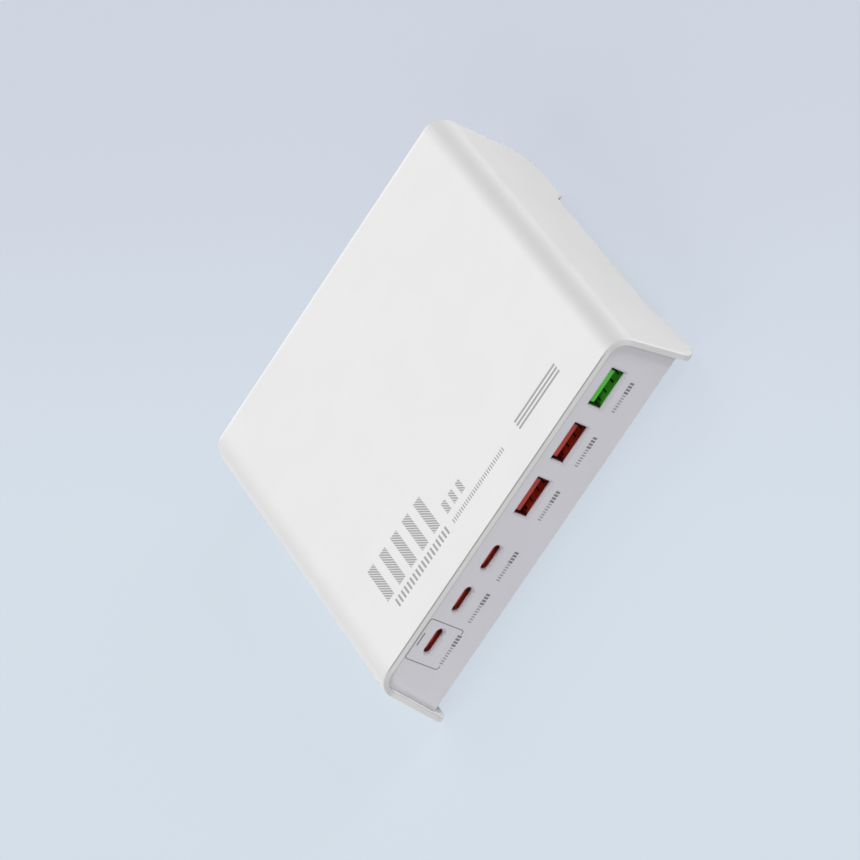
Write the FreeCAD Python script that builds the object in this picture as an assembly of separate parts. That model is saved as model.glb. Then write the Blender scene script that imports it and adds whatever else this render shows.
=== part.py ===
"""Desktop charger with three USB-C and three USB-A sockets, sizes in millimetres.

The frame has +X to the right, the socket panel at the front (-Y) and +Z up. The origin lies on the
table, under the middle of the cover.
"""
import FreeCAD, Part
import math
import os

V = FreeCAD.Vector

# Cover: one sheet-like shell folded down on both sides into splayed legs
cover_width = 127.6
cover_depth = 133.4
cover_height = 29.4
cover_wall = 2.0
fold_radius = 7.0
leg_splay_deg = 6.7
rear_sweep_deg = 25.0
front_toe_radius = 4.8
rear_heel_radius = 14.0
arch_height = 3.2
arch_ramp_deg = 45.0
front_foot_length = 22.3
rear_foot_length = 23.8
front_ramp_radius = 4.0
rear_ramp_radius = 1.5
rim_round = 0.4

# Body hung inside the cover
body_clearance = 5.66
body_gap = 0.15
panel_recess = 1.4
panel_thickness = 2.0
rear_panel_thickness = 2.0
tray_wall = 1.8
tray_floor = 2.0
tray_side_height = 12.0

# Screws and the posts they hold together
post_diameter = 6.5
post_inset = 5.2
front_post_setback = 33.0
rear_post_setback = 10.0
post_joint_height = 6.0
screw_diameter = 2.4
screw_clearance = 0.2
screw_head_diameter = 4.4
screw_head_height = 1.8
screw_head_room = 0.25
screw_bite = 5.0
board_post_diameter = 6.0
board_screw_inset = 6.0
board_screw_bite = 2.0
head_over_board = 1.4

# Circuit boards
board_thickness = 1.6
board_post_height = 2.5
board_edge_gap = 0.7
board_side_gap = 1.2
sheet_thickness = 0.4
port_board_length = 24.0
port_board_setback = 1.8
spacer_diameter = 4.4
spacer_inset = 6.0
header_width = 2.5
header_length = 20.0
header_setback = 2.0

# Sockets in the front panel
socket_height = 20.1
usb_a_middle = 27.8
usb_a_pitch = 19.46
usb_a_side_gap = 0.25
usb_a_top_gap = 0.05
usb_a_mouth_radius = 0.4
usb_a_shell_width = 13.1
usb_a_shell_height = 5.6
usb_a_shell_length = 14.0
usb_a_shell_wall = 0.25
usb_a_shell_radius = 0.5
usb_a_reach = 0.6
usb_a_liner_wall = 0.1
usb_a_block_length = 4.0
usb_a_tongue_width = 11.3
usb_a_tongue_thickness = 1.8
usb_a_tongue_rise = 0.25
usb_a_tongue_setback = 0.1
spring_pitch = 6.55
spring_slot_pitch = 2.95
spring_slot_width = 0.65
spring_slot_length = 4.5
spring_slot_setback = 1.2
contact_width = 1.0
contact_thickness = 0.15
contact_length = 7.0
contact_setback = 1.2
contact_pitch = 2.3
usb_c_middle = -28.9
usb_c_pitch = 15.25
usb_c_side_gap = 0.23
usb_c_top_gap = 0.1
usb_c_shell_width = 8.94
usb_c_shell_height = 3.1
usb_c_shell_length = 8.5
usb_c_shell_wall = 0.2
usb_c_liner_wall = 0.1
usb_c_block_length = 2.0
usb_c_tongue_width = 6.7
usb_c_tongue_thickness = 0.8
usb_c_tongue_setback = 0.1
socket_fit = 0.05
mouth_bevel = 0.3
port_board_margin = 1.8

# Mains inlet in the rear panel, a figure of eight with two pins
inlet_x = -30.0
inlet_width = 20.0
inlet_height = 11.5
inlet_length = 17.0
inlet_corner_radius = 1.5
inlet_lobe_diameter = 8.6
inlet_pin_pitch = 8.5
inlet_waist = 5.8
inlet_depth = 12.5
inlet_pin_diameter = 2.4
inlet_pin_setback = 1.5
inlet_pin_bevel = 0.5
inlet_fit = 0.2

# Power parts on the main board
fuse_diameter = 8.4
fuse_height = 8.0
varistor_diameter = 10.0
varistor_thickness = 4.0
lead_diameter = 0.8
lead_pitch = 5.0
lead_height = 1.5
x_capacitor_length = 18.0
x_capacitor_width = 8.5
x_capacitor_headroom = 1.6
choke_diameter = 19.0
choke_bore = 9.0
choke_height = 9.0
choke_winding = 1.6
winding_fit = 0.1
winding_span_deg = 140.0
rectifier_length = 14.5
rectifier_thickness = 3.6
rectifier_height = 11.0
rectifier_bevel = 2.5
bulk_headroom = 1.5
bulk_length = 28.0
bulk_groove_setback = 3.0
bulk_groove_width = 1.0
bulk_groove_depth = 0.5
bulk_lift = 0.1
core_headroom = 1.0
transformer_length = 27.0
transformer_width = 24.0
transformer_post_diameter = 11.0
transformer_limb = 4.5
transformer_yoke = 3.4
pfc_length = 21.0
pfc_width = 18.0
pfc_post_diameter = 8.0
pfc_limb = 3.6
pfc_yoke = 3.0
bobbin_wall = 0.9
bobbin_fit = 0.15
heat_sink_length = 34.0
heat_sink_base = 2.4
fin_length = 5.0
fin_thickness = 1.2
fin_count = 4
switch_length = 8.0
switch_height = 8.0
switch_thickness = 2.2
pad_thickness = 1.0
spreader_thickness = 1.0
spreader_margin = 6.0
y_capacitor_diameter = 8.0
y_capacitor_thickness = 3.4
output_can_diameter = 6.3
output_can_height = 8.0
output_can_pitch = 9.0
output_can_count = 6
output_can_setback = 4.6
inductor_size = 6.0
inductor_height = 4.0
inductor_bevel = 0.8
inductor_gap = 0.3
chip_length = 5.0
chip_width = 4.0
chip_height = 1.2
part_gap = 4.0

# Smallest step that makes an edge, and how straight an edge runs to count as along an axis
shortest_edge = 1e-6
straight_share = 0.999

# Planes and levels that follow from the sizes above
splay = math.tan(math.radians(leg_splay_deg))
splay_secant = 1 / math.cos(math.radians(leg_splay_deg))
sweep = math.tan(math.radians(rear_sweep_deg))
front_y = -cover_depth / 2
rear_y = cover_depth / 2
heel_y = rear_y - cover_height * sweep
ceiling_z = cover_height - cover_wall
floor_z = body_clearance + tray_floor
panel_front_y = front_y + panel_recess
panel_back_y = panel_front_y + panel_thickness
rear_panel_y = heel_y + body_clearance * sweep - panel_recess
rear_inner_y = rear_panel_y - rear_panel_thickness
body_inset = cover_wall + body_gap
board_low_z = floor_z + board_post_height
board_z = board_low_z + board_thickness
post_joint_z = floor_z + post_joint_height
spreader_z = ceiling_z - spreader_thickness
part_room = spreader_z - board_z
core_height = part_room - core_headroom
x_capacitor_height = part_room - x_capacitor_headroom
bulk_diameter = part_room - bulk_headroom - bulk_lift
usb_a_board_z = socket_height - usb_a_shell_height / 2
usb_c_board_z = socket_height - usb_c_shell_height / 2
usb_a_front_y = panel_back_y - usb_a_reach
usb_a_rear_y = usb_a_front_y + usb_a_shell_length
usb_c_rear_y = panel_back_y + usb_c_shell_length
usb_a_mouth_width = usb_a_shell_width + 2 * usb_a_side_gap
usb_a_mouth_height = usb_a_shell_height + 2 * usb_a_top_gap
usb_c_mouth_width = usb_c_shell_width + 2 * usb_c_side_gap
usb_c_mouth_height = usb_c_shell_height + 2 * usb_c_top_gap
port_board_front_y = panel_back_y + port_board_setback
port_board_rear_y = port_board_front_y + port_board_length
usb_a_places = [usb_a_middle + step * usb_a_pitch for step in (-1, 0, 1)]
usb_c_places = [usb_c_middle + step * usb_c_pitch for step in (-1, 0, 1)]


def leg_x(height, inset):
    """Half width between the legs' faces at a height, for a face that lies inset from the outer one."""
    return cover_width / 2 + splay * (cover_height - height) - inset * splay_secant


tray_inner_x = leg_x(board_z, body_inset + tray_wall)
post_x = tray_inner_x - post_inset
board_half_x = post_x - post_diameter / 2 - board_side_gap
board_front_y = panel_back_y + board_edge_gap
board_rear_y = rear_inner_y - board_edge_gap
post_places = [(side * post_x, y) for side in (-1, 1)
               for y in (panel_back_y + front_post_setback, rear_inner_y - rear_post_setback)]
board_screw_places = [(side * (board_half_x - board_screw_inset), y) for side in (-1, 1)
                      for y in (board_front_y + board_screw_inset, board_rear_y - board_screw_inset)]


def rounded_face(corners, place):
    """Flat face through corners (u, v, radius), with an arc of that radius at each corner that has one."""
    points = [V(u, v, 0) for u, v, radius in corners]
    stops = []
    for index, (u, v, radius) in enumerate(corners):
        corner = points[index]
        back = (points[index - 1] - corner).normalize()
        ahead = (points[(index + 1) % len(points)] - corner).normalize()
        half = back.getAngle(ahead) / 2
        if radius == 0:
            stops.append([corner])
            continue
        reach = radius / math.tan(half)
        inward = (back + ahead).normalize()
        nearest = corner + inward * (radius / math.sin(half) - radius)
        stops.append([corner + back * reach, nearest, corner + ahead * reach])
    edges = []
    for index, stop in enumerate(stops):
        start = stops[index - 1][-1]
        if (stop[0] - start).Length > shortest_edge:
            edges.append(Part.LineSegment(place(start), place(stop[0])).toShape())
        if len(stop) == 3:
            edges.append(Part.Arc(*[place(point) for point in stop]).toShape())
    return Part.Face(Part.Wire(edges))


def along_y(corners, start, end):
    """Solid with an outline in X and Z, drawn along Y."""
    face = rounded_face(corners, lambda point: V(point.x, start, point.y))
    return face.extrude(V(0, end - start, 0))


def along_x(corners, start, end):
    """Solid with an outline in Y and Z, drawn along X."""
    face = rounded_face(corners, lambda point: V(start, point.x, point.y))
    return face.extrude(V(end - start, 0, 0))


def upright(corners, low, high):
    """Solid with an outline in X and Y, drawn upwards."""
    face = rounded_face(corners, lambda point: V(point.x, point.y, low))
    return face.extrude(V(0, 0, high - low))


def rectangle(centre_u, centre_v, width, height, radius=0):
    """Corners of a rectangle about a centre."""
    near, far = centre_u - width / 2, centre_u + width / 2
    low, high = centre_v - height / 2, centre_v + height / 2
    return [(near, low, radius), (far, low, radius), (far, high, radius), (near, high, radius)]


def block(centre_x, centre_y, length, width, low, high):
    """Box that stands over a centre."""
    return upright(rectangle(centre_x, centre_y, length, width), low, high)


def rod(x, y, low, high, diameter):
    """Upright cylinder."""
    return Part.makeCylinder(diameter / 2, high - low, V(x, y, low))


def rod_along_y(x, z, start, end, diameter):
    """Cylinder that lies along Y."""
    return Part.makeCylinder(diameter / 2, end - start, V(x, start, z), V(0, 1, 0))


def turned(profile, x, y):
    """Solid of revolution about the upright axis through x, y; profile holds (radius, height) pairs."""
    points = [V(x + radius, y, height) for radius, height in profile]
    face = Part.Face(Part.makePolygon(points + points[:1]))
    return face.revolve(V(x, y, 0), V(0, 0, 1), 360)


def ring(x, y, low, high, outer, inner):
    """Upright tube."""
    return rod(x, y, low, high, outer).cut(rod(x, y, low, high, inner))


def arch(inset, low, start, end):
    """Solid under the cover's folded outline, set inside it, from a level up and from start to end."""
    top = cover_height - inset
    foot_x, top_x = leg_x(low, inset), leg_x(top, inset)
    radius = fold_radius - inset
    corners = [(-foot_x, low, 0), (foot_x, low, 0), (top_x, top, radius), (-top_x, top, radius)]
    return along_y(corners, start, end)


def stadium(x, width, height, start, end):
    """Solid with round ends, drawn along Y at the sockets' height."""
    return along_y(rectangle(x, socket_height, width, height, height / 2 - socket_fit), start, end)


def make_top_cover():
    """Folded shell with feet at both ends of each leg, an arch between them and a swept rear edge."""
    ramp = arch_height / math.tan(math.radians(arch_ramp_deg))
    front_ramp_y = front_y + front_foot_length
    rear_ramp_y = heel_y - rear_foot_length
    profile = [(front_y, cover_height, 0), (front_y, 0, front_toe_radius),
               (front_ramp_y, 0, front_ramp_radius), (front_ramp_y + ramp, arch_height, front_ramp_radius),
               (rear_ramp_y - ramp, arch_height, rear_ramp_radius), (rear_ramp_y, 0, rear_ramp_radius),
               (heel_y, 0, rear_heel_radius), (rear_y, cover_height, 0)]
    outer = arch(0, 0, front_y, rear_y).common(along_x(profile, -cover_width, cover_width))
    rim = []
    for edge in outer.Edges:
        along = edge.tangentAt((edge.FirstParameter + edge.LastParameter) / 2)
        height = edge.CenterOfMass.z
        crosswise = abs(along.x) > straight_share
        lengthwise = abs(along.y) > straight_share
        if crosswise and height > ceiling_z:
            rim.append(edge)
        elif not crosswise and not (lengthwise and height > cover_height / 2):
            rim.append(edge)
    shell = outer.makeFillet(rim_round, rim)
    shell = shell.cut(arch(cover_wall, -cover_wall, front_y - cover_wall, rear_y + cover_wall))
    for x, y in post_places:
        shell = shell.fuse(rod(x, y, post_joint_z, ceiling_z + cover_wall / 4, post_diameter))
    for x, y in post_places:
        pilot_top = post_joint_z + screw_bite + screw_clearance
        shell = shell.cut(rod(x, y, post_joint_z, pilot_top, screw_diameter + screw_clearance))
    return shell.removeSplitter()


def make_base_tray():
    """Open tray with sides along the legs, posts for the cover's screws and posts for the main board."""
    outside = arch(body_inset, body_clearance, panel_back_y, rear_inner_y)
    hollow = arch(body_inset + tray_wall, floor_z, panel_back_y - tray_wall, rear_inner_y + tray_wall)
    mid_y = (panel_back_y + rear_inner_y) / 2
    slab = block(0, mid_y, 2 * cover_width, cover_depth, body_clearance, body_clearance + tray_side_height)
    tray = outside.cut(hollow).common(slab)
    seat_z = body_clearance + screw_head_height + screw_head_room
    for x, y in post_places:
        tray = tray.fuse(rod(x, y, body_clearance, post_joint_z, post_diameter))
        tray = tray.cut(rod(x, y, body_clearance, seat_z, screw_head_diameter + 2 * screw_clearance))
        tray = tray.cut(rod(x, y, seat_z, post_joint_z, screw_diameter + 2 * screw_clearance))
    for x, y in board_screw_places:
        tray = tray.fuse(rod(x, y, body_clearance, board_low_z, board_post_diameter))
        pilot_low = board_low_z - board_screw_bite - screw_clearance
        tray = tray.cut(rod(x, y, pilot_low, board_low_z, screw_diameter + screw_clearance))
    return tray.removeSplitter()


def make_front_panel():
    """Plate that fills the cover's mouth, with six socket mouths whose front edges are bevelled."""
    panel = arch(body_inset, body_clearance, panel_front_y, panel_back_y)
    for x in usb_a_places:
        mouth = rectangle(x, socket_height, usb_a_mouth_width, usb_a_mouth_height, usb_a_mouth_radius)
        panel = panel.cut(along_y(mouth, panel_front_y, panel_back_y))
    for x in usb_c_places:
        panel = panel.cut(stadium(x, usb_c_mouth_width, usb_c_mouth_height, panel_front_y, panel_back_y))
    bevelled = []
    for edge in panel.Edges:
        box = edge.BoundBox
        middling = max(box.ZMax - socket_height, socket_height - box.ZMin) < usb_a_mouth_height
        if middling and box.YMax < panel_front_y + shortest_edge:
            bevelled.append(edge)
    return panel.makeChamfer(mouth_bevel, bevelled)


def inlet_outline(extra):
    """Rounded outline of the mains inlet's body, grown by extra on each side."""
    return rectangle(inlet_x, board_z + inlet_height / 2, inlet_width + 2 * extra, inlet_height + 2 * extra,
                     inlet_corner_radius + extra)


def make_rear_panel():
    """Plate under the cover's rear overhang, with the mains inlet's cut-out."""
    panel = arch(body_inset, body_clearance, rear_inner_y, rear_panel_y)
    return panel.cut(along_y(inlet_outline(inlet_fit), rear_inner_y, rear_panel_y))


def make_cover_screws():
    """Screws that hold the tray to the cover's posts, with the heads sunk in the tray's underside."""
    head_z = body_clearance + screw_head_room
    seat_z = head_z + screw_head_height
    screws = []
    for x, y in post_places:
        head = rod(x, y, head_z, seat_z, screw_head_diameter)
        shank = rod(x, y, seat_z, post_joint_z + screw_bite, screw_diameter)
        screws.append(head.fuse(shank).removeSplitter())
    return Part.Compound(screws)


def pan_screw(x, y, seat_z, bite):
    """Pan-head screw with its head on a level and its shank reaching below it."""
    head = rod(x, y, seat_z, seat_z + head_over_board, screw_head_diameter)
    return head.fuse(rod(x, y, seat_z - bite, seat_z, screw_diameter)).removeSplitter()


def make_board_screws():
    """Screws through the main board into the tray's posts."""
    bite = board_thickness + board_screw_bite
    return Part.Compound([pan_screw(x, y, board_z, bite) for x, y in board_screw_places])


def pierced_plate(low, high, hole_diameter):
    """Plate of the main board's outline with a hole at each of its screws."""
    mid_y = (board_front_y + board_rear_y) / 2
    plate = block(0, mid_y, 2 * board_half_x, board_rear_y - board_front_y, low, high)
    for x, y in board_screw_places:
        plate = plate.cut(rod(x, y, low, high, hole_diameter))
    return plate


def make_insulation_sheet():
    """Thin sheet on the tray's floor under the main board, pierced by the board's posts."""
    return pierced_plate(floor_z, floor_z + sheet_thickness, board_post_diameter + 2 * screw_clearance)


def make_main_board():
    """Main circuit board with its screw holes."""
    return pierced_plate(board_low_z, board_z, screw_diameter + 2 * screw_clearance)


port_boards = {"usb_a_board": (usb_a_places, usb_a_mouth_width, usb_a_rear_y, usb_a_board_z),
               "usb_c_board": (usb_c_places, usb_c_mouth_width, usb_c_rear_y, usb_c_board_z)}


def spacer_places(places):
    """Places of a port board's two spacers, each between two of its sockets."""
    spacer_y = port_board_front_y + spacer_inset
    return [((left + right) / 2, spacer_y) for left, right in zip(places, places[1:])]


def make_port_board(places, mouth_width, top_z):
    """Small board that carries one row of sockets above the main board."""
    mid_y = (port_board_front_y + port_board_rear_y) / 2
    length = places[-1] - places[0] + mouth_width + 2 * port_board_margin
    low_z = top_z - board_thickness
    board = block(places[1], mid_y, length, port_board_length, low_z, top_z)
    for x, y in spacer_places(places):
        board = board.cut(rod(x, y, low_z, top_z, screw_diameter + 2 * screw_clearance))
    return board


def make_board_spacers():
    """Tubular spacers between the main board and the port boards."""
    bore = screw_diameter + screw_clearance
    tubes = []
    for places, mouth_width, socket_rear_y, top_z in port_boards.values():
        for x, y in spacer_places(places):
            tubes.append(ring(x, y, board_z, top_z - board_thickness, spacer_diameter, bore))
    return Part.Compound(tubes)


def make_port_board_screws():
    """Screws through the port boards, each halfway down its spacer."""
    screws = []
    for places, mouth_width, socket_rear_y, top_z in port_boards.values():
        spacer_height = top_z - board_thickness - board_z
        for x, y in spacer_places(places):
            screws.append(pan_screw(x, y, top_z, board_thickness + spacer_height / 2))
    return Part.Compound(screws)


def make_link_headers():
    """Connector strip under the rear of each port board, which joins it to the main board."""
    strips = []
    for places, mouth_width, socket_rear_y, top_z in port_boards.values():
        y = port_board_rear_y - header_setback
        strips.append(block(places[1], y, header_length, header_width, board_z, top_z - board_thickness))
    return Part.Compound(strips)


def spring_slots(x):
    """Slots on both sides of the two springs in a USB-A shell's floor, as one cutting tool."""
    mid_y = usb_a_front_y + spring_slot_setback + spring_slot_length / 2
    low = usb_a_board_z - usb_a_shell_wall
    slots = []
    for spring_x in (x - spring_pitch / 2, x + spring_pitch / 2):
        for slot_x in (spring_x - spring_slot_pitch / 2, spring_x + spring_slot_pitch / 2):
            slots.append(block(slot_x, mid_y, spring_slot_width, spring_slot_length, low, socket_height))
    return Part.Compound(slots)


def make_usb_a_shell(x):
    """Steel shell of a USB-A socket, open to the front, with two springs cut free in its floor."""
    outline = rectangle(x, socket_height, usb_a_shell_width, usb_a_shell_height, usb_a_shell_radius)
    inner_width = usb_a_shell_width - 2 * usb_a_shell_wall
    inner_height = usb_a_shell_height - 2 * usb_a_shell_wall
    hollow = rectangle(x, socket_height, inner_width, inner_height, usb_a_shell_radius - usb_a_shell_wall)
    shell = along_y(outline, usb_a_front_y, usb_a_rear_y)
    shell = shell.cut(along_y(hollow, usb_a_front_y, usb_a_rear_y - usb_a_shell_wall))
    return shell.cut(spring_slots(x))


def tongue_low_z():
    """Underside of a USB-A tongue, which lies above the middle of its mouth."""
    return socket_height + usb_a_tongue_rise


def make_usb_a_insert(x):
    """Coloured moulding of a USB-A socket: thin lining of the shell, rear block and tongue."""
    width = usb_a_shell_width - 2 * usb_a_shell_wall - 2 * socket_fit
    height = usb_a_shell_height - 2 * usb_a_shell_wall - 2 * socket_fit
    radius = usb_a_shell_radius - usb_a_shell_wall
    end = usb_a_rear_y - usb_a_shell_wall - socket_fit
    block_y = end - usb_a_block_length
    hollow = rectangle(x, socket_height, width - 2 * usb_a_liner_wall, height - 2 * usb_a_liner_wall,
                       radius - usb_a_liner_wall)
    liner = along_y(rectangle(x, socket_height, width, height, radius), usb_a_front_y, end)
    liner = liner.cut(along_y(hollow, usb_a_front_y, block_y)).cut(spring_slots(x))
    tongue_mid_z = tongue_low_z() + usb_a_tongue_thickness / 2
    tongue = rectangle(x, tongue_mid_z, usb_a_tongue_width, usb_a_tongue_thickness)
    return liner.fuse(along_y(tongue, usb_a_front_y + usb_a_tongue_setback, block_y)).removeSplitter()


def make_usb_a_contacts(x):
    """Four contact strips on the underside of a USB-A tongue."""
    front = usb_a_front_y + usb_a_tongue_setback + contact_setback
    level = tongue_low_z() - contact_thickness / 2
    strips = []
    for step in (-1.5, -0.5, 0.5, 1.5):
        outline = rectangle(x + step * contact_pitch, level, contact_width, contact_thickness)
        strips.append(along_y(outline, front, front + contact_length))
    return Part.Compound(strips)


def make_usb_c_shell(x):
    """Steel shell of a USB-C socket with round ends, open to the front."""
    hollow_width = usb_c_shell_width - 2 * usb_c_shell_wall
    hollow_height = usb_c_shell_height - 2 * usb_c_shell_wall
    shell = stadium(x, usb_c_shell_width, usb_c_shell_height, panel_back_y, usb_c_rear_y)
    return shell.cut(stadium(x, hollow_width, hollow_height, panel_back_y, usb_c_rear_y - usb_c_shell_wall))


def make_usb_c_insert(x):
    """Coloured moulding of a USB-C socket: thin lining of the shell, rear block and tongue in the middle."""
    width = usb_c_shell_width - 2 * usb_c_shell_wall - 2 * socket_fit
    height = usb_c_shell_height - 2 * usb_c_shell_wall - 2 * socket_fit
    end = usb_c_rear_y - usb_c_shell_wall - socket_fit
    block_y = end - usb_c_block_length
    hollow_width = width - 2 * usb_c_liner_wall
    hollow_height = height - 2 * usb_c_liner_wall
    liner = stadium(x, width, height, panel_back_y, end)
    liner = liner.cut(stadium(x, hollow_width, hollow_height, panel_back_y, block_y))
    tongue = rectangle(x, socket_height, usb_c_tongue_width, usb_c_tongue_thickness)
    return liner.fuse(along_y(tongue, panel_back_y + usb_c_tongue_setback, block_y)).removeSplitter()


def inlet_pin_places():
    """Middle of each inlet pin across the panel."""
    return [inlet_x + side * inlet_pin_pitch / 2 for side in (-1, 1)]


def make_ac_inlet():
    """Mains inlet body with a mouth of two round lobes joined by a waist."""
    level = board_z + inlet_height / 2
    body = along_y(inlet_outline(0), rear_panel_y - inlet_length, rear_panel_y)
    mouth_floor = rear_panel_y - inlet_depth
    mouth = along_y(rectangle(inlet_x, level, inlet_pin_pitch, inlet_waist), mouth_floor, rear_panel_y)
    for x in inlet_pin_places():
        mouth = mouth.fuse(rod_along_y(x, level, mouth_floor, rear_panel_y, inlet_lobe_diameter))
    return body.cut(mouth)


def make_inlet_pins():
    """Two round pins with bevelled tips that stand in the inlet's mouth."""
    level = board_z + inlet_height / 2
    foot_y = rear_panel_y - inlet_depth
    pins = []
    for x in inlet_pin_places():
        pin = rod_along_y(x, level, foot_y, rear_panel_y - inlet_pin_setback, inlet_pin_diameter)
        tip = [edge for edge in pin.Edges if edge.BoundBox.YMin > foot_y + inlet_pin_bevel]
        pins.append(pin.makeChamfer(inlet_pin_bevel, tip))
    return Part.Compound(pins)


def spread(lengths, front, rear):
    """Middles of pieces set in a row from rear to front, with even gaps between them and at both ends."""
    gap = (rear - front - sum(lengths)) / (len(lengths) + 1)
    middles = []
    edge = rear
    for length in lengths:
        middles.append(edge - gap - length / 2)
        edge -= gap + length
    return middles


# Places of the power parts: one row beside the inlet, and three columns from it to the output cans
first_row_y = board_rear_y - board_screw_inset - part_gap
fuse_place = (inlet_x + inlet_width / 2 + fuse_diameter / 2 + part_gap, first_row_y)
varistor_place = (fuse_place[0] + fuse_diameter / 2 + varistor_diameter / 2 + part_gap, first_row_y)
x_capacitor_x = varistor_place[0] + varistor_diameter / 2 + x_capacitor_length / 2 + part_gap
inlet_back_y = rear_panel_y - inlet_length
output_can_y = port_board_rear_y + output_can_setback
column_span = (output_can_y + output_can_diameter / 2, inlet_back_y)
left_column = spread([bulk_diameter, bulk_diameter, y_capacitor_thickness], *column_span)
middle_column = spread([pfc_width, heat_sink_length], *column_span)
right_column = spread([choke_diameter, rectifier_thickness, transformer_width], *column_span)
bulk_x = -board_half_x + part_gap + bulk_length / 2
bulk_rows = left_column[:2]
y_capacitor_place = (bulk_x, left_column[2])
pfc_place = (0, middle_column[0])
heat_sink_place = (0, middle_column[1])
choke_place = (board_half_x - part_gap - choke_diameter / 2, right_column[0])
rectifier_place = (choke_place[0], right_column[1])
transformer_place = (board_half_x - 2 * part_gap - transformer_length / 2, right_column[2])


def make_fuse():
    """Round time-lag fuse that stands on the board."""
    return rod(*fuse_place, board_z, board_z + fuse_height, fuse_diameter)


def disc_part(place, diameter, thickness):
    """Coated disc on edge with two wire leads that stand on the board."""
    x, y = place
    centre_z = board_z + lead_height + diameter / 2
    disc = rod_along_y(x, centre_z, y - thickness / 2, y + thickness / 2, diameter)
    for side in (-1, 1):
        disc = disc.fuse(rod(x + side * lead_pitch / 2, y, board_z, centre_z, lead_diameter))
    return disc.removeSplitter()


def make_x_capacitor():
    """Boxed film capacitor across the mains."""
    top = board_z + x_capacitor_height
    return block(x_capacitor_x, first_row_y, x_capacitor_length, x_capacitor_width, board_z, top)


def choke_core_levels():
    """Underside and top of the choke's ring core, which its windings lift off the board."""
    return board_z + choke_winding + winding_fit, board_z + choke_height - choke_winding - winding_fit


def make_choke_core():
    """Ring core of the common-mode choke."""
    low, high = choke_core_levels()
    wound = 2 * (choke_winding + winding_fit)
    return ring(*choke_place, low, high, choke_diameter - wound, choke_bore + wound)


def make_choke_windings():
    """Two windings, each around one side of the ring core."""
    low, high = choke_core_levels()
    x, y = choke_place
    wound = 2 * choke_winding
    coat = ring(x, y, board_z, board_z + choke_height, choke_diameter, choke_bore)
    room = ring(x, y, low - winding_fit, high + winding_fit, choke_diameter - wound, choke_bore + wound)
    coat = coat.cut(room)
    halves = []
    for start in (-winding_span_deg / 2, 180 - winding_span_deg / 2):
        foot = V(x, y, board_z)
        wedge = Part.makeCylinder(choke_diameter, choke_height, foot, V(0, 0, 1), winding_span_deg)
        wedge.rotate(foot, V(0, 0, 1), start)
        halves.append(coat.common(wedge))
    return Part.Compound(halves)


def make_bridge_rectifier():
    """Flat rectifier package on edge with one bevelled corner."""
    x, y = rectifier_place
    near, far = x - rectifier_length / 2, x + rectifier_length / 2
    top = board_z + rectifier_height
    outline = [(near, board_z, 0), (far, board_z, 0), (far, top, 0), (near + rectifier_bevel, top, 0),
               (near, top - rectifier_bevel, 0)]
    return along_y(outline, y - rectifier_thickness / 2, y + rectifier_thickness / 2)


def make_bulk_capacitors():
    """Two electrolytic cans that lie side by side, each with a crimped groove."""
    cans = []
    radius = bulk_diameter / 2
    neck = radius - bulk_groove_depth
    groove_start = bulk_groove_setback
    groove_end = bulk_groove_setback + bulk_groove_width
    for y in bulk_rows:
        can = turned([(0, 0), (radius, 0), (radius, groove_start), (neck, groove_start), (neck, groove_end),
                      (radius, groove_end), (radius, bulk_length), (0, bulk_length)], 0, 0)
        can.rotate(V(0, 0, 0), V(0, 1, 0), 90)
        can.translate(V(bulk_x - bulk_length / 2, y, board_z + bulk_lift + radius))
        cans.append(can)
    return Part.Compound(cans)


def ferrite_core(width, place, length, limb, yoke, post):
    """Two facing core halves: yokes above and below, a limb at each end and a round middle post."""
    x, y = place
    low, high = board_z, board_z + core_height
    middle = (low + high) / 2
    outside = block(x, y, length, width, low, high)
    window = block(x, y, length - 2 * limb, width, low + yoke, high - yoke)
    core = outside.cut(window).fuse(rod(x, y, low + yoke, high - yoke, post))
    lower = core.common(block(x, y, length, width, low, middle)).removeSplitter()
    upper = core.common(block(x, y, length, width, middle, high)).removeSplitter()
    return Part.Compound([lower, upper])


def bobbin_radii(length, limb, post):
    """Inside and rim radius of a bobbin that fits between a core's post and its limbs."""
    return post / 2 + bobbin_fit, length / 2 - limb - bobbin_fit


def bobbin(place, length, limb, yoke, post):
    """Spool around a core's post with a flange at each yoke."""
    inner, rim = bobbin_radii(length, limb, post)
    low, high = board_z + yoke + bobbin_fit, board_z + core_height - yoke - bobbin_fit
    hub = inner + bobbin_wall
    profile = [(inner, low), (rim, low), (rim, low + bobbin_wall), (hub, low + bobbin_wall),
               (hub, high - bobbin_wall), (rim, high - bobbin_wall), (rim, high), (inner, high)]
    return turned(profile, *place)


def winding(place, length, limb, yoke, post):
    """Wire wound on a bobbin, flush with just inside its flanges' rim."""
    inner, rim = bobbin_radii(length, limb, post)
    low = board_z + yoke + bobbin_fit + bobbin_wall
    high = board_z + core_height - yoke - bobbin_fit - bobbin_wall
    return ring(*place, low, high, 2 * (rim - bobbin_fit), 2 * (inner + bobbin_wall))


def make_heat_sink():
    """Finned bar on the board that leads the switches' heat up to the pad and the spreader."""
    x, y = heat_sink_place
    top = spreader_z - pad_thickness
    fin_x = x + heat_sink_base / 2 + fin_length / 2
    fin_gap = (top - board_z - fin_count * fin_thickness) / (fin_count - 1)
    bar = block(x, y, heat_sink_base, heat_sink_length, board_z, top)
    for step in range(fin_count):
        low = board_z + step * (fin_thickness + fin_gap)
        bar = bar.fuse(block(fin_x, y, fin_length, heat_sink_length, low, low + fin_thickness))
    return bar.removeSplitter()


def make_power_switches():
    """Two flat transistor packages against the heat sink's plain face."""
    x, y = heat_sink_place
    face_x = x - heat_sink_base / 2 - switch_thickness / 2
    top = board_z + switch_height
    packages = []
    for side in (-1, 1):
        place_y = y + side * heat_sink_length / 4
        packages.append(block(face_x, place_y, switch_thickness, switch_length, board_z, top))
    return Part.Compound(packages)


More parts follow.
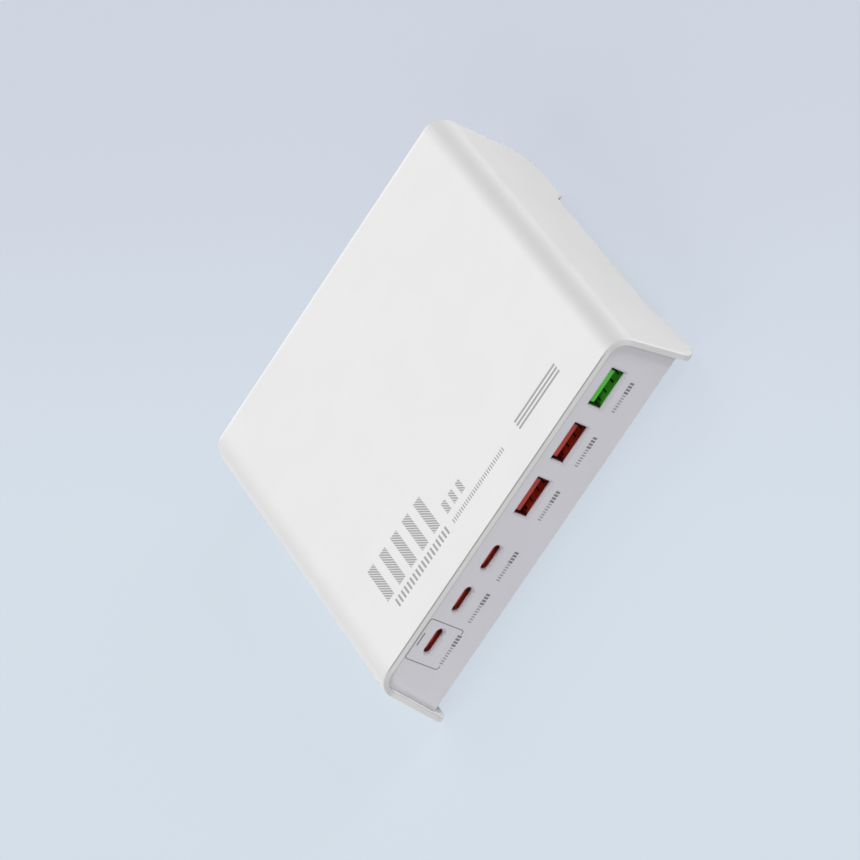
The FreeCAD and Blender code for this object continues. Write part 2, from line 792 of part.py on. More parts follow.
def make_thermal_pad():
    """Soft pad between the heat sink and the spreader."""
    x, y = heat_sink_place
    width = heat_sink_base + fin_length
    return block(x + fin_length / 2, y, width, heat_sink_length, spreader_z - pad_thickness, spreader_z)


def make_heat_spreader():
    """Thin metal plate under the cover's ceiling."""
    near_y = port_board_rear_y + spreader_margin
    far_y = rear_inner_y - spreader_margin
    half_x = board_half_x - spreader_margin
    return block(0, (near_y + far_y) / 2, 2 * half_x, far_y - near_y, spreader_z, ceiling_z)


def make_output_capacitors():
    """Row of small cans behind the port boards."""
    cans = []
    for step in range(output_can_count):
        x = (step - (output_can_count - 1) / 2) * output_can_pitch
        cans.append(rod(x, output_can_y, board_z, board_z + output_can_height, output_can_diameter))
    return Part.Compound(cans)


def make_buck_inductors():
    """Moulded inductor behind each socket, with its upper edges bevelled."""
    parts = []
    for places, mouth_width, socket_rear_y, top_z in port_boards.values():
        y = socket_rear_y + inductor_gap + inductor_size / 2
        for x in places:
            cube = block(x, y, inductor_size, inductor_size, top_z, top_z + inductor_height)
            top = [edge for edge in cube.Edges if edge.CenterOfMass.z > top_z + inductor_height / 2
                   and edge.BoundBox.ZLength < inductor_bevel]
            parts.append(cube.makeChamfer(inductor_bevel, top))
    return Part.Compound(parts)


def make_controller_chips():
    """Three flat controller chips in a row beside the power switches."""
    x, y = heat_sink_place
    row_x = x - heat_sink_base / 2 - switch_thickness - part_gap - chip_length / 2
    chips = []
    for step in (-1, 0, 1):
        row_y = y + step * (chip_width + part_gap)
        chips.append(block(row_x, row_y, chip_length, chip_width, board_z, board_z + chip_height))
    return Part.Compound(chips)


pfc_choke = (pfc_place, pfc_length, pfc_limb, pfc_yoke, pfc_post_diameter)
transformer = (transformer_place, transformer_length, transformer_limb, transformer_yoke,
               transformer_post_diameter)

nodes = {
    "top_cover": make_top_cover(),
    "base_tray": make_base_tray(),
    "front_panel": make_front_panel(),
    "rear_panel": make_rear_panel(),
    "cover_screws": make_cover_screws(),
    "insulation_sheet": make_insulation_sheet(),
    "main_board": make_main_board(),
    "board_screws": make_board_screws(),
    "board_spacers": make_board_spacers(),
    "port_board_screws": make_port_board_screws(),
    "link_headers": make_link_headers(),
    "ac_inlet": make_ac_inlet(),
    "inlet_pins": make_inlet_pins(),
    "fuse": make_fuse(),
    "varistor": disc_part(varistor_place, varistor_diameter, varistor_thickness),
    "x_capacitor": make_x_capacitor(),
    "choke_core": make_choke_core(),
    "choke_windings": make_choke_windings(),
    "bridge_rectifier": make_bridge_rectifier(),
    "bulk_capacitors": make_bulk_capacitors(),
    "pfc_core": ferrite_core(pfc_width, *pfc_choke),
    "pfc_bobbin": bobbin(*pfc_choke),
    "pfc_winding": winding(*pfc_choke),
    "transformer_core": ferrite_core(transformer_width, *transformer),
    "transformer_bobbin": bobbin(*transformer),
    "transformer_winding": winding(*transformer),
    "heat_sink": make_heat_sink(),
    "power_switches": make_power_switches(),
    "thermal_pad": make_thermal_pad(),
    "heat_spreader": make_heat_spreader(),
    "y_capacitor": disc_part(y_capacitor_place, y_capacitor_diameter, y_capacitor_thickness),
    "output_capacitors": make_output_capacitors(),
    "buck_inductors": make_buck_inductors(),
    "controller_chips": make_controller_chips(),
}
for name, (places, mouth_width, socket_rear_y, top_z) in port_boards.items():
    nodes[name] = make_port_board(places, mouth_width, top_z)
for number, x in enumerate(usb_a_places, 1):
    nodes[f"usb_a_shell_{number}"] = make_usb_a_shell(x)
    nodes[f"usb_a_insert_{number}"] = make_usb_a_insert(x)
    nodes[f"usb_a_contacts_{number}"] = make_usb_a_contacts(x)
for number, x in enumerate(usb_c_places, 1):
    nodes[f"usb_c_shell_{number}"] = make_usb_c_shell(x)
    nodes[f"usb_c_insert_{number}"] = make_usb_c_insert(x)

os.makedirs("parts", exist_ok=True)
for name, shape in nodes.items():
    shape.exportStep(f"parts/{name}.step")
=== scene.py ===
"""Desktop charger with six USB sockets: finishes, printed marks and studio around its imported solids."""

import math

import bmesh
import bpy
from bpy.props import FloatProperty, FloatVectorProperty, IntProperty, PointerProperty
from bpy.types import Operator, Panel, PropertyGroup
from mathutils import Matrix, Vector


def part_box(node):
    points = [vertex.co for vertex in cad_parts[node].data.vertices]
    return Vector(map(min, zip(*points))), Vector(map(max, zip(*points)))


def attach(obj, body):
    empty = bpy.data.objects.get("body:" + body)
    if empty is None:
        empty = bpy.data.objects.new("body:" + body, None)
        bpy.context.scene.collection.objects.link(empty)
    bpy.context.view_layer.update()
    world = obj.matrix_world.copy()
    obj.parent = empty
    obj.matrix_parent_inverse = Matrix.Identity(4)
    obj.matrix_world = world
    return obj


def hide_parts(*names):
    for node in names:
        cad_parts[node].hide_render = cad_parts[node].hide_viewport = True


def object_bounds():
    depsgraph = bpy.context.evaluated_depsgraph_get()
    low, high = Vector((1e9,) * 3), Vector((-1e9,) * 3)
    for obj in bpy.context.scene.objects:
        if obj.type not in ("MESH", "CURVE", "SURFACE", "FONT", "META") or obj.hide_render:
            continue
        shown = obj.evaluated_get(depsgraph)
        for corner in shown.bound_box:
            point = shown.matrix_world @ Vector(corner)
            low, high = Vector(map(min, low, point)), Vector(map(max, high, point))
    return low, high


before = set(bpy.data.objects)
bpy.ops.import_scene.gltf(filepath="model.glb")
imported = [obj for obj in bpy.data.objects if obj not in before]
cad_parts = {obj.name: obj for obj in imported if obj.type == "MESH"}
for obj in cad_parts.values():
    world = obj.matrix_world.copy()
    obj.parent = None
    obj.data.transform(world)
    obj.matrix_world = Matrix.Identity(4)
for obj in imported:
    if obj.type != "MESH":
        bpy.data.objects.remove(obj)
CAD_LOW, CAD_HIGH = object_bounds()

bl_info = {
    "name": "Desktop charger",
    "version": (1, 0, 0),
    "blender": (4, 5, 0),
    "location": "View3D > Sidebar > Charger",
    "description": "Finishes, printed marks and studio of a desktop charger with six sockets",
    "category": "Object",
}

MM = 0.001
# Shares of a direction along an axis from which, and at which, a surface counts as facing that way
STEEP = (0.6, 0.9)
LEANING = (0.2, 0.7)
# Levels of a pattern between which a finish runs from one tone, or one gloss, to the other
TINT_SPAN = (0.35, 0.65)
GLOSS_SPAN = (0.3, 0.7)
# Radians through which the wave texture runs in a metre at a scale of one
WAVE_RATE = 20


def trio(stem):
    """Names of three like solids."""
    return [f"{stem}_{number}" for number in (1, 2, 3)]


def middle(node):
    """Centre of a solid's box."""
    low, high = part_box(node)
    return (low + high) / 2


# Places taken from the frame
TOP_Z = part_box("top_cover")[1].z
FRONT_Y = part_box("top_cover")[0].y
BACK_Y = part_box("top_cover")[1].y
PANEL_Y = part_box("front_panel")[0].y
USB_C_SHELLS = trio("usb_c_shell")
USB_A_SHELLS = trio("usb_a_shell")
SOCKET_Z = middle(USB_C_SHELLS[0]).z


# Kinds of property that the settings below are made of

def length(name, millimetres, description):
    """Length property with its default in millimetres."""
    return FloatProperty(name=name, description=description, default=millimetres * MM, unit="LENGTH",
                         precision=5)


def angle(name, degrees, description):
    """Angle property with its default in degrees."""
    return FloatProperty(name=name, description=description, default=math.radians(degrees), unit="ROTATION")


def colour(name, red, green, blue, description):
    """Colour property in linear light."""
    return FloatVectorProperty(name=name, description=description, default=(red, green, blue), size=3,
                               min=0, max=1, subtype="COLOR")


def share(name, default, description):
    """Plain number from nought up."""
    return FloatProperty(name=name, description=description, default=default, min=0, subtype="FACTOR",
                         soft_max=1)


def count(name, default, description):
    """Whole number from one up."""
    return IntProperty(name=name, description=description, default=default, min=1)


def heading(name, x, y, z, description):
    """Direction property."""
    return FloatVectorProperty(name=name, description=description, default=(x, y, z), size=3,
                               subtype="DIRECTION")


class ChargerFinishes(PropertyGroup):
    """Colours of the charger's materials, and the gloss of the ones that show most."""

    cover: colour("Cover", 0.858, 0.855, 0.852, "White of the folded cover")
    cover_roughness: share("Cover roughness", 0.62, "Roughness of the cover")
    cover_shine: share("Cover shine", 0.3, "Strength of the cover's reflections")
    body: colour("Body", 0.715, 0.706, 0.75, "Pale grey of the panels and the tray")
    body_roughness: share("Body roughness", 0.46, "Roughness of the panels, the tray and the socket lips")
    red: colour("Red insert", 0.47, 0.034, 0.018, "Inserts of the USB-C sockets and of two USB-A sockets")
    green: colour("Green insert", 0.09, 0.56, 0.04, "Insert of the USB-A socket at the right")
    steel: colour("Socket steel", 0.4, 0.4, 0.405, "Plated shells of the sockets")
    screw: colour("Screw steel", 0.55, 0.54, 0.52, "Zinc-plated screws and spacers")
    brass: colour("Contact gold", 0.83, 0.58, 0.24, "Contacts and pins")
    inlet: colour("Inlet", 0.018, 0.018, 0.019, "Black moulding of the mains inlet")
    board: colour("Board", 0.012, 0.11, 0.038, "Solder mask of the circuit boards")
    sheet: colour("Sheet", 0.62, 0.62, 0.6, "Insulating sheet under the main board")
    package: colour("Package", 0.022, 0.022, 0.023, "Black mouldings of the power parts")
    sleeve: colour("Sleeve", 0.03, 0.03, 0.035, "Shrunk sleeve of the large capacitors")
    film: colour("Film capacitor", 0.66, 0.44, 0.06, "Yellow box of the film capacitor")
    disc: colour("Disc", 0.035, 0.12, 0.36, "Blue coating of the disc parts")
    ferrite: colour("Ferrite", 0.035, 0.035, 0.038, "Fired cores of the choke and the transformers")
    copper: colour("Copper", 0.72, 0.3, 0.13, "Enamelled winding wire")
    aluminium: colour("Aluminium", 0.72, 0.72, 0.73, "Cans, heat sink and heat spreader")
    pad: colour("Pad", 0.24, 0.26, 0.3, "Soft pad over the heat sink")
    ink_dark: colour("Dark ink", 0.22, 0.22, 0.225, "Bold marks on the panel")
    ink_frame: colour("Frame ink", 0.27, 0.27, 0.275, "Frame and dash on the panel")
    ink_grey: colour("Grey ink", 0.36, 0.36, 0.365, "Marks on the cover")
    ink_pale: colour("Pale ink", 0.36, 0.36, 0.365, "Fine marks")


class ChargerTones(PropertyGroup):
    """Painted shade and painted highlights that change over a piece, as shares of its own colour, and where
    they lie.
    """

    # Painted shade: a dark line along the cover's front top edge
    edge_shade: share("Edge tone", 0.5, "Tone of the line along the cover's front edge")
    edge_line: length("Edge line", 0.42, "Height and depth of that line")
    edge_reach: length("Edge reach", 60.0, "From the middle to where that line has faded out")
    edge_fade: length("Edge fade", 5.0, "Length over which that line fades")
    # Painted highlight: a bright line along the top's rear edge
    rear_highlight: share("Rear tone", 1.1, "Tone of the bright line along the top's rear edge")
    rear_line: length("Rear line", 1.6, "Depth of that line")
    wall: length("Wall", 2.0, "Thickness of the cover")
    fold_radius: length("Fold radius", 7.0, "Outer radius of the fold from the top to a leg")
    splay: angle("Splay", 6.7, "How far a leg leans out")
    # Painted shade along both folds and a painted highlight streak below the right one
    fold_shade: share("Fold tone", 0.9, "Tone along the right fold")
    fold_lead: length("Fold lead", 0.3, "How far before the right fold its tone begins")
    fold_full: length("Fold full", 3.0, "From the right fold's start across to where its tone is full")
    fold_fade: length("Fold fade", 0.5, "From the top down to where the right fold's tone begins to fade")
    fold_end: length("Fold end", 3.9, "From the top down to where the right fold's tone has faded out")
    left_fold_shade: share("Left fold tone", 0.82, "Tone along the left fold")
    left_lead: length("Left lead", 2.0, "How far before the left fold its tone begins")
    left_full: length("Left full", 6.0, "From the left fold's start across to where its tone is full")
    streak_highlight: share("Streak tone", 1.045, "Tone of the pale streak between the right fold and its leg")
    streak_from: length("Streak from", 2.7, "From the top down to where the pale streak begins")
    streak_full: length("Streak full", 4.8, "From the top down to the middle of the streak")
    streak_end: length("Streak end", 7.4, "From the top down to where the streak and the left tone end")
    # Painted shade on the front rim, painted light on its inside line down the right leg, and a painted
    # highlight down that leg's outer edge
    rim_face_shade: share("Rim face tone", 0.91, "Tone of the front rim's face")
    rim_line_shade: share("Rim tone", 0.8, "Tone of the line round the inside of the front rim")
    rim_line: length("Rim line", 0.4, "Width of the lines on the front rim")
    leg_rim_shade: share("Leg rim tone", 0.96, "Tone of the front rim down the right leg")
    leg_line_lift: share("Leg line tone", 1.34, "Further tone of the inside line down that leg")
    glint_tone: share("Glint tone", 1.33, "Tone of the bright line down the outer edge of that leg's rim")
    # Painted light: the front panel lighter towards the table
    foot_light: share("Foot tone", 1.07, "Tone of the front panel at the table")
    # Painted shadow along the front panel's edge beside the cover
    gap_shade: share("Gap tone", 0.86, "Tone of the front panel's edge beside the cover")
    gap_full: length("Gap full", 3.05, "From the cover's outside in to where that edge's tone is full")
    gap_end: length("Gap end", 3.45, "From the cover's outside in to where that tone has faded out")
    # Painted shade on the lips' fronts and left sides, painted light deeper in the mouths
    lip_front_shade: share("Lip front tone", 0.85, "Tone of a socket's lip at its front")
    lip_inside_light: share("Lip tone", 1.22, "Tone inside a socket's mouth, as a share of the lip's at its front")
    lip_left_shade: share("Lip left tone", 0.6, "Tone of a lip's left side, as a share of its tone elsewhere")
    # Painted shade inside the inserts: on their side walls, at their ends and at the front of their floors
    usb_c_side_shade: share("USB-C side tone", 0.9, "Tone of a USB-C insert's side walls")
    usb_c_end_shade: share("USB-C end tone", 0.5, "Tone of a USB-C insert's left and right ends")
    usb_c_end: length("USB-C end", 2.6, "Half the width of a USB-C insert that keeps its full colour")
    usb_c_shift: length("USB-C shift", -1.1, "From a USB-C insert's middle to the middle of that width")
    usb_a_side_shade: share("USB-A side tone", 0.16, "Tone of a USB-A insert's side walls")
    usb_a_end_shade: share("USB-A end tone", 0.25, "Tone of a USB-A insert's left and right ends")
    usb_a_end: length("USB-A end", 5.1, "Half the width of a USB-A insert that keeps its full colour")
    usb_a_shift: length("USB-A shift", -0.1, "From a USB-A insert's middle to the middle of that width")
    end_fade: length("End fade", 0.8, "Length over which an insert's ends darken")
    floor_shade: share("Floor tone", 0.66, "Tone of an insert's floor at its front end")
    floor_reach: length("Floor reach", 3.5, "From an insert's front end to its floor's full colour")
    # Painted shade: a shell's front edge dark in its insert's colour
    shell_front_shade: share("Coat tone", 0.3, "Tone of the lacquer on a shell's front edge")
    shell_front_reach: length("Coat reach", 0.4, "From a USB-C shell's front edge to the end of its lacquer")


class ChargerMarks(PropertyGroup):
    """Sizes and places of the printed marks."""

    ink_proud: length("Ink thickness", 0.012, "How far the ink stands off its surface")
    label_width: length("Label width", 10.8, "Width of the row of blocks under a socket")
    label_height: length("Label height", 1.5, "Height of the bold blocks under a socket")
    label_drop: length("Label drop", 6.45, "From a socket's middle down to its label's")
    label_shift: length("Label shift", -0.3, "From a socket's middle across to its label's")
    label_fine_share: share("Fine share", 0.6, "Share of a label's width that has fine blocks")
    label_fine_blocks: count("Fine blocks", 7, "Fine blocks at the left of a label")
    label_fine_ink: share("Fine ink", 0.5, "Inked share of each step of the fine blocks")
    label_bold_blocks: count("Bold blocks", 4, "Bold blocks at the right of a label")
    label_bold_ink: share("Bold ink", 0.66, "Inked share of each step of the bold blocks")
    label_inset: length("Label inset", 0.15, "How much lower the fine blocks are at the top and bottom")
    frame_width: length("Frame width", 14.4, "Width of the line round the first socket")
    frame_height: length("Frame height", 12.6, "Height of the line round the first socket")
    frame_corner: length("Frame corner", 0.9, "Corner radius of that line")
    frame_line: length("Frame line", 0.34, "Thickness of that line")
    frame_gap: length("Frame gap", 11.4, "Opening in that line for the socket's label")
    frame_shift: length("Frame shift", -0.65, "From the socket's middle across to the frame's")
    frame_drop: length("Frame drop", 0.3, "From the socket's middle down to the frame's")
    sign_width: length("Sign width", 4.5, "Width of the dash above the first socket")
    sign_height: length("Sign height", 0.5, "Height of that dash")
    sign_rise: length("Sign rise", 4.65, "From the socket's middle up to that dash")
    hatch_pitch: length("Hatch pitch", 0.75, "From one hatch line to the next")
    hatch_ink: share("Hatch ink", 0.68, "Inked share of each step of the hatching")
    hatch_slope: angle("Hatch slope", 35.0, "Slope of the way across the hatch lines")
    bars_left: length("Bars left", -44.2, "Left end of the tall hatched bars on the cover")
    bars_near: length("Bars near", -48.4, "Near end of the tall bars and of the short ones beside them")
    bars_width: length("Bars width", 31.0, "Width of the row of tall bars, with the space after the last")
    bars_height: length("Bars height", 15.9, "Height of the tall bars")
    bars_count: count("Bars", 5, "Number of tall bars")
    bars_ink: share("Bars ink", 0.52, "Inked share of each step across the tall bars")
    short_left: length("Short left", -12.1, "Left end of the short hatched bars")
    short_width: length("Short width", 11.1, "Width of the row of short bars, with the space after the last")
    short_height: length("Short height", 5.2, "Height of the short bars")
    short_count: count("Short bars", 3, "Number of short bars")
    short_ink: share("Short ink", 0.54, "Inked share of each step across the short bars")
    strokes_left: length("Strokes left", -42.1, "Left end of the row of strokes below the tall bars")
    strokes_near: length("Strokes near", -54.2, "Near end of the strokes")
    strokes_width: length("Strokes width", 27.9, "Width of the row of strokes")
    strokes_height: length("Strokes height", 3.6, "Height of the strokes")
    strokes_count: count("Strokes", 18, "Number of strokes")
    strokes_ink: share("Strokes ink", 0.46, "Inked share of each step across the strokes")
    ticks_left: length("Ticks left", -12.1, "Left end of the fine ticks beside the strokes")
    ticks_near: length("Ticks near", -53.6, "Near end of the ticks")
    ticks_width: length("Ticks width", 26.9, "Width of the row of ticks")
    ticks_height: length("Ticks height", 1.9, "Height of the ticks")
    ticks_count: count("Ticks", 30, "Number of ticks")
    ticks_ink: share("Ticks ink", 0.43, "Inked share of each step across the ticks")
    lines_left: length("Lines left", 22.2, "Left end of the long lines at the right")
    lines_near: length("Lines near", -54.2, "Near edge of the nearest long line")
    lines_width: length("Lines width", 21.0, "Length of the long lines")
    lines_height: length("Lines height", 0.92, "Thickness of a long line")
    lines_pitch: length("Lines pitch", 1.75, "From one long line to the next")
    lines_count: count("Lines", 3, "Number of long lines")


class ChargerLips(PropertyGroup):
    """Sizes of the rounded lips that line the fronts of the socket mouths."""

    bevel: length("Bevel", 0.3, "Width of the panel's bevel round a mouth")
    # Depth from which the lips' painted light is full
    pale_from: length("Pale from", 0.7, "Depth from which a lip has its paler tone")
    play: length("Play", 0.02, "Space between a lip and the panel")
    sharpest: length("Sharpest corner", 0.05, "Least corner radius of an opening")
    steps: count("Steps", 8, "Facets round a lip's front and round each corner")
    usb_c_side: length("USB-C side gap", 0.23, "From a USB-C shell's side to its mouth's")
    usb_c_top: length("USB-C top gap", 0.1, "From a USB-C shell's top to its mouth's")
    usb_c_corner: length("USB-C corner", 1.65, "Corner radius of a USB-C mouth")
    usb_c_inset: length("USB-C inset", 0.32, "How far the lip stands into a USB-C mouth")
    usb_c_rise: length("USB-C rise", 0.1, "How far a USB-C lip's opening lies above its mouth's middle")
    usb_c_depth: length("USB-C depth", 1.4, "From the panel's front to a USB-C lip's back")
    usb_a_side: length("USB-A side gap", 0.25, "From a USB-A shell's side to its mouth's")
    usb_a_top: length("USB-A top gap", 0.05, "From a USB-A shell's top to its mouth's")
    usb_a_corner: length("USB-A corner", 0.4, "Corner radius of a USB-A mouth")
    usb_a_inset: length("USB-A inset", 0.4, "How far the lip stands into a USB-A mouth")
    usb_a_rise: length("USB-A rise", 0.15, "How far a USB-A lip's opening lies above its mouth's middle")
    usb_a_depth: length("USB-A depth", 1.0, "From the panel's front to a USB-A lip's back")


class ChargerScrews(PropertyGroup):
    """Sizes of the cross-recessed screws in the underside."""

    head_radius: length("Head radius", 2.2, "Radius of a screw's head")
    head_height: length("Head height", 1.8, "Height of a screw's head")
    head_round: length("Head rounding", 0.35, "Bevel round the head's edge")
    shank_radius: length("Shank radius", 1.2, "Radius of a screw's shank")
    cross_reach: length("Cross reach", 1.25, "Half length of the recess's arms")
    cross_width: length("Cross width", 0.27, "Half width of the recess's arms")
    cross_depth: length("Cross depth", 1.1, "Depth of the recess")
    sides: count("Sides", 32, "Facets round a screw")


class ChargerStage(PropertyGroup):
    """Camera, lamps and floor."""

    aim: FloatVectorProperty(name="Aim", description="Point in the middle of the picture",
                             default=(-7.14 * MM, -0.11 * MM, 14.7 * MM), size=3, subtype="TRANSLATION")
    distance: length("Distance", 1754.5, "From the camera to the aim")
    azimuth: angle("Azimuth", 19.124, "How far the camera stands to the right of straight ahead")
    elevation: angle("Elevation", 36.06, "How far the camera stands above the table")
    roll: angle("Roll", -67.57, "Turn of the camera about its own line of sight")
    lens: FloatProperty(name="Lens", description="Focal length on a 36 mm sensor", default=247.2,
                        unit="CAMERA")
    sensor: FloatProperty(name="Sensor", description="Width of the sensor", default=36.0, unit="CAMERA")
    floor_size: length("Floor size", 8000.0, "Width and depth of the floor")
    backdrop_near: colour("Near backdrop", 0.67, 0.743, 0.82, "Pale blue at the foot of the picture")
    backdrop_far: colour("Far backdrop", 0.627, 0.67, 0.757, "Pale blue at the head of the picture")
    backdrop_run: heading("Backdrop run", 0.84, 0.54, 0.0, "Way over the floor from the near to the far blue")
    backdrop_from: length("Backdrop from", -40.0, "From the picture's middle to where the far blue begins")
    backdrop_to: length("Backdrop to", 125.0, "From the picture's middle to where the far blue is full")
    bounce: colour("Bounce", 0.72, 0.72, 0.72, "Floor as the object's diffuse light meets it")
    lift: share("Shadow lift", 0.86, "Share of the floor's visible colour that the shadow leaves alone")
    sky: share("Sky", 0.03, "Level light from all round")
    key: share("Key lamp", 0.52, "Light from the left, as a share of full level")
    key_from: heading("Key from", -0.81, 0.11, 0.57, "Where the key lamp stands")
    key_spread: angle("Key spread", 40.0, "How wide the key lamp looks from the charger")
    fill: share("Fill lamp", 0.55, "Light from the right, as a share of full level")
    fill_from: heading("Fill from", 0.89, -0.29, 0.34, "Where the fill lamp stands")
    fill_spread: angle("Fill spread", 25.0, "How wide the fill lamp looks from the charger")
    front: share("Front lamp", 0.345, "Light from the front left, as a share of full level")
    front_from: heading("Front from", -0.58, -0.69, 0.42, "Where the front lamp stands")
    front_spread: angle("Front spread", 30.0, "How wide the front lamp looks from the charger")
    back: share("Back lamp", 0.39, "Light from behind and above, as a share of full level")
    back_from: heading("Back from", 0.0, 0.71, 0.71, "Where the back lamp stands")
    back_spread: angle("Back spread", 40.0, "How wide the back lamp looks from the charger")


class ChargerSettings(PropertyGroup):
    """All of the charger's settings."""

    finishes: PointerProperty(type=ChargerFinishes)
    tones: PointerProperty(type=ChargerTones)
    marks: PointerProperty(type=ChargerMarks)
    lips: PointerProperty(type=ChargerLips)
    screws: PointerProperty(type=ChargerScrews)
    stage: PointerProperty(type=ChargerStage)


# Materials

class Finish:
    """Material with a principled shader, and the patterns in object space that give it detail."""

    def __init__(self, name, base, roughness, metallic=0.0):
        self.material = bpy.data.materials.new(name)
        self.material.use_nodes = True
        self.nodes = self.material.node_tree.nodes
        self.links = self.material.node_tree.links
        self.shader = self.nodes["Principled BSDF"]
        self.set("Base Color", (*base, 1))
        self.set("Roughness", roughness)
        self.set("Metallic", metallic)
        self.base = Vector(base)
        self.coordinates = self.nodes.new("ShaderNodeTexCoord")

    def set(self, socket, value):
        """Value that is the same all over."""
        self.shader.inputs[socket].default_value = value

    def stretched(self, stretch):
        """Object coordinates, each axis multiplied by its own number."""
        mapping = self.nodes.new("ShaderNodeMapping")
        mapping.inputs["Scale"].default_value = stretch
        self.links.new(self.coordinates.outputs["Object"], mapping.inputs["Vector"])
        return mapping.outputs["Vector"]

    def axes(self, source="Object"):
        """Object coordinates, or the surface's own directions, one by one."""
        split = self.nodes.new("ShaderNodeSeparateXYZ")
        self.links.new(self.coordinates.outputs[source], split.inputs["Vector"])
        return split.outputs

    def noise(self, grain, detail=3.0, stretch=(1, 1, 1)):
        """Cloudy pattern with marks about one grain across."""
        texture = self.nodes.new("ShaderNodeTexNoise")
        texture.inputs["Scale"].default_value = 1 / grain
        texture.inputs["Detail"].default_value = detail
        self.links.new(self.stretched(stretch), texture.inputs["Vector"])
        return texture.outputs["Fac"]

    def bands(self, pitch, direction):
        """Even ridges across an axis, one to each pitch."""
        texture = self.nodes.new("ShaderNodeTexWave")
        texture.wave_type = "BANDS"
        texture.bands_direction = direction
        texture.inputs["Scale"].default_value = 2 * math.pi / (WAVE_RATE * pitch)
        self.links.new(self.coordinates.outputs["Object"], texture.inputs["Vector"])
        return texture.outputs["Fac"]

    def cells(self, size):
        """Irregular patches about one size across, each with its own level."""
        texture = self.nodes.new("ShaderNodeTexVoronoi")
        texture.inputs["Scale"].default_value = 1 / size
        self.links.new(self.coordinates.outputs["Object"], texture.inputs["Vector"])
        return texture.outputs["Color"]

    def maths(self, operation, *terms):
        """Arithmetic of one kind on sockets and plain numbers."""
        node = self.nodes.new("ShaderNodeMath")
        node.operation = operation
        for term, socket in zip(terms, node.inputs):
            if isinstance(term, float):
                socket.default_value = term
            else:
                self.links.new(term, socket)
        return node.outputs["Value"]

    def both(self, first, second):
        """Product of two masks."""
        return self.maths("MULTIPLY", first, second)

    def rise(self, value, start, end):
        """Nought at start, one at end and a smooth rise between them."""
        node = self.nodes.new("ShaderNodeMapRange")
        node.interpolation_type = "SMOOTHSTEP"
        node.inputs["From Min"].default_value = start
        node.inputs["From Max"].default_value = end
        self.links.new(value, node.inputs["Value"])
        return node.outputs["Result"]

    def ramp(self, value, first, last):
        """Colour that runs from the first to the last with a value from nought to one."""
        node = self.nodes.new("ShaderNodeValToRGB")
        low, high = node.color_ramp.elements
        low.color = (*first, 1)
        high.color = (*last, 1)
        self.links.new(value, node.inputs["Fac"])
        return node.outputs["Color"]

    def tint(self, pattern, darker, lighter):
        """Base colour that runs between two multiples of itself with a pattern."""
        level = self.rise(pattern, *TINT_SPAN)
        tone = self.ramp(level, self.base * darker, self.base * lighter)
        self.links.new(tone, self.shader.inputs["Base Color"])

    def shade(self, mask, tone):
        """Painted shade where the tone is below one and painted light where it is above: base colour
        multiplied by a tone where a mask is one.
        """
        level = self.maths("SUBTRACT", 1.0, self.maths("MULTIPLY", mask, 1 - tone))
        scale = self.nodes.new("ShaderNodeVectorMath")
        scale.operation = "SCALE"
        base = self.shader.inputs["Base Color"]
        self.links.new(base.links[0].from_socket, scale.inputs["Vector"])
        self.links.new(level, scale.inputs["Scale"])
        self.links.new(scale.outputs["Vector"], base)

    def coat(self, mask, colour):
        """Plain colour in place of the metal where a mask is one."""
        self.links.new(self.ramp(mask, self.base, colour), self.shader.inputs["Base Color"])
        self.links.new(self.maths("SUBTRACT", 1.0, mask), self.shader.inputs["Metallic"])

    def gloss(self, pattern, low, high):
        """Roughness that runs from low to high with a pattern."""
        spread = self.nodes.new("ShaderNodeMapRange")
        limits = ("From Min", "From Max", "To Min", "To Max")
        for socket, value in zip(limits, (*GLOSS_SPAN, low, high)):
            spread.inputs[socket].default_value = value
        self.links.new(pattern, spread.inputs["Value"])
        self.links.new(spread.outputs["Result"], self.shader.inputs["Roughness"])

    def relief(self, pattern, depth):
        """Surface that rises and falls by a depth with a pattern."""
        bump = self.nodes.new("ShaderNodeBump")
        bump.inputs["Distance"].default_value = depth
        self.links.new(pattern, bump.inputs["Height"])
        self.links.new(bump.outputs["Normal"], self.shader.inputs["Normal"])


def moulded(name, base, roughness, grain=0.25 * MM, depth=0.004 * MM):
    """Moulded plastic: a fine even spark texture and faint cloudiness."""
    finish = Finish(name, base, roughness)
    fine = finish.noise(grain)
    finish.gloss(fine, low=roughness - 0.04, high=roughness + 0.04)
    finish.relief(fine, depth)
    finish.tint(finish.noise(grain=18 * MM), darker=0.992, lighter=1.008)
    return finish


def drawn_metal(name, base, roughness, stretch=(40, 1, 40)):
    """Metal with fine lines from drawing or rolling, along the axis that is stretched least."""
    finish = Finish(name, base, roughness, metallic=1.0)
    lines = finish.noise(grain=4 * MM, detail=4.0, stretch=stretch)
    finish.gloss(lines, low=roughness - 0.08, high=roughness + 0.1)
    finish.tint(lines, darker=0.9, lighter=1.08)
    finish.relief(lines, depth=0.002 * MM)
    return finish


def wound_wire(name, base, pitch, direction):
    """Enamelled wire laid turn by turn, with painted shade in the grooves between turns."""
    finish = Finish(name, base, roughness=0.32, metallic=1.0)
    turns = finish.bands(pitch, direction)
    finish.tint(turns, darker=0.35, lighter=1.1)
    finish.relief(turns, depth=0.2 * pitch)
    return finish


def sintered(name, base):
    """Dark fired ferrite with a dull speckle."""
    finish = Finish(name, base, roughness=0.62)
    speckle = finish.noise(grain=0.5 * MM, detail=5.0)
    finish.tint(speckle, darker=0.7, lighter=1.5)
    finish.gloss(speckle, low=0.5, high=0.72)
    finish.relief(speckle, depth=0.02 * MM)
    return finish


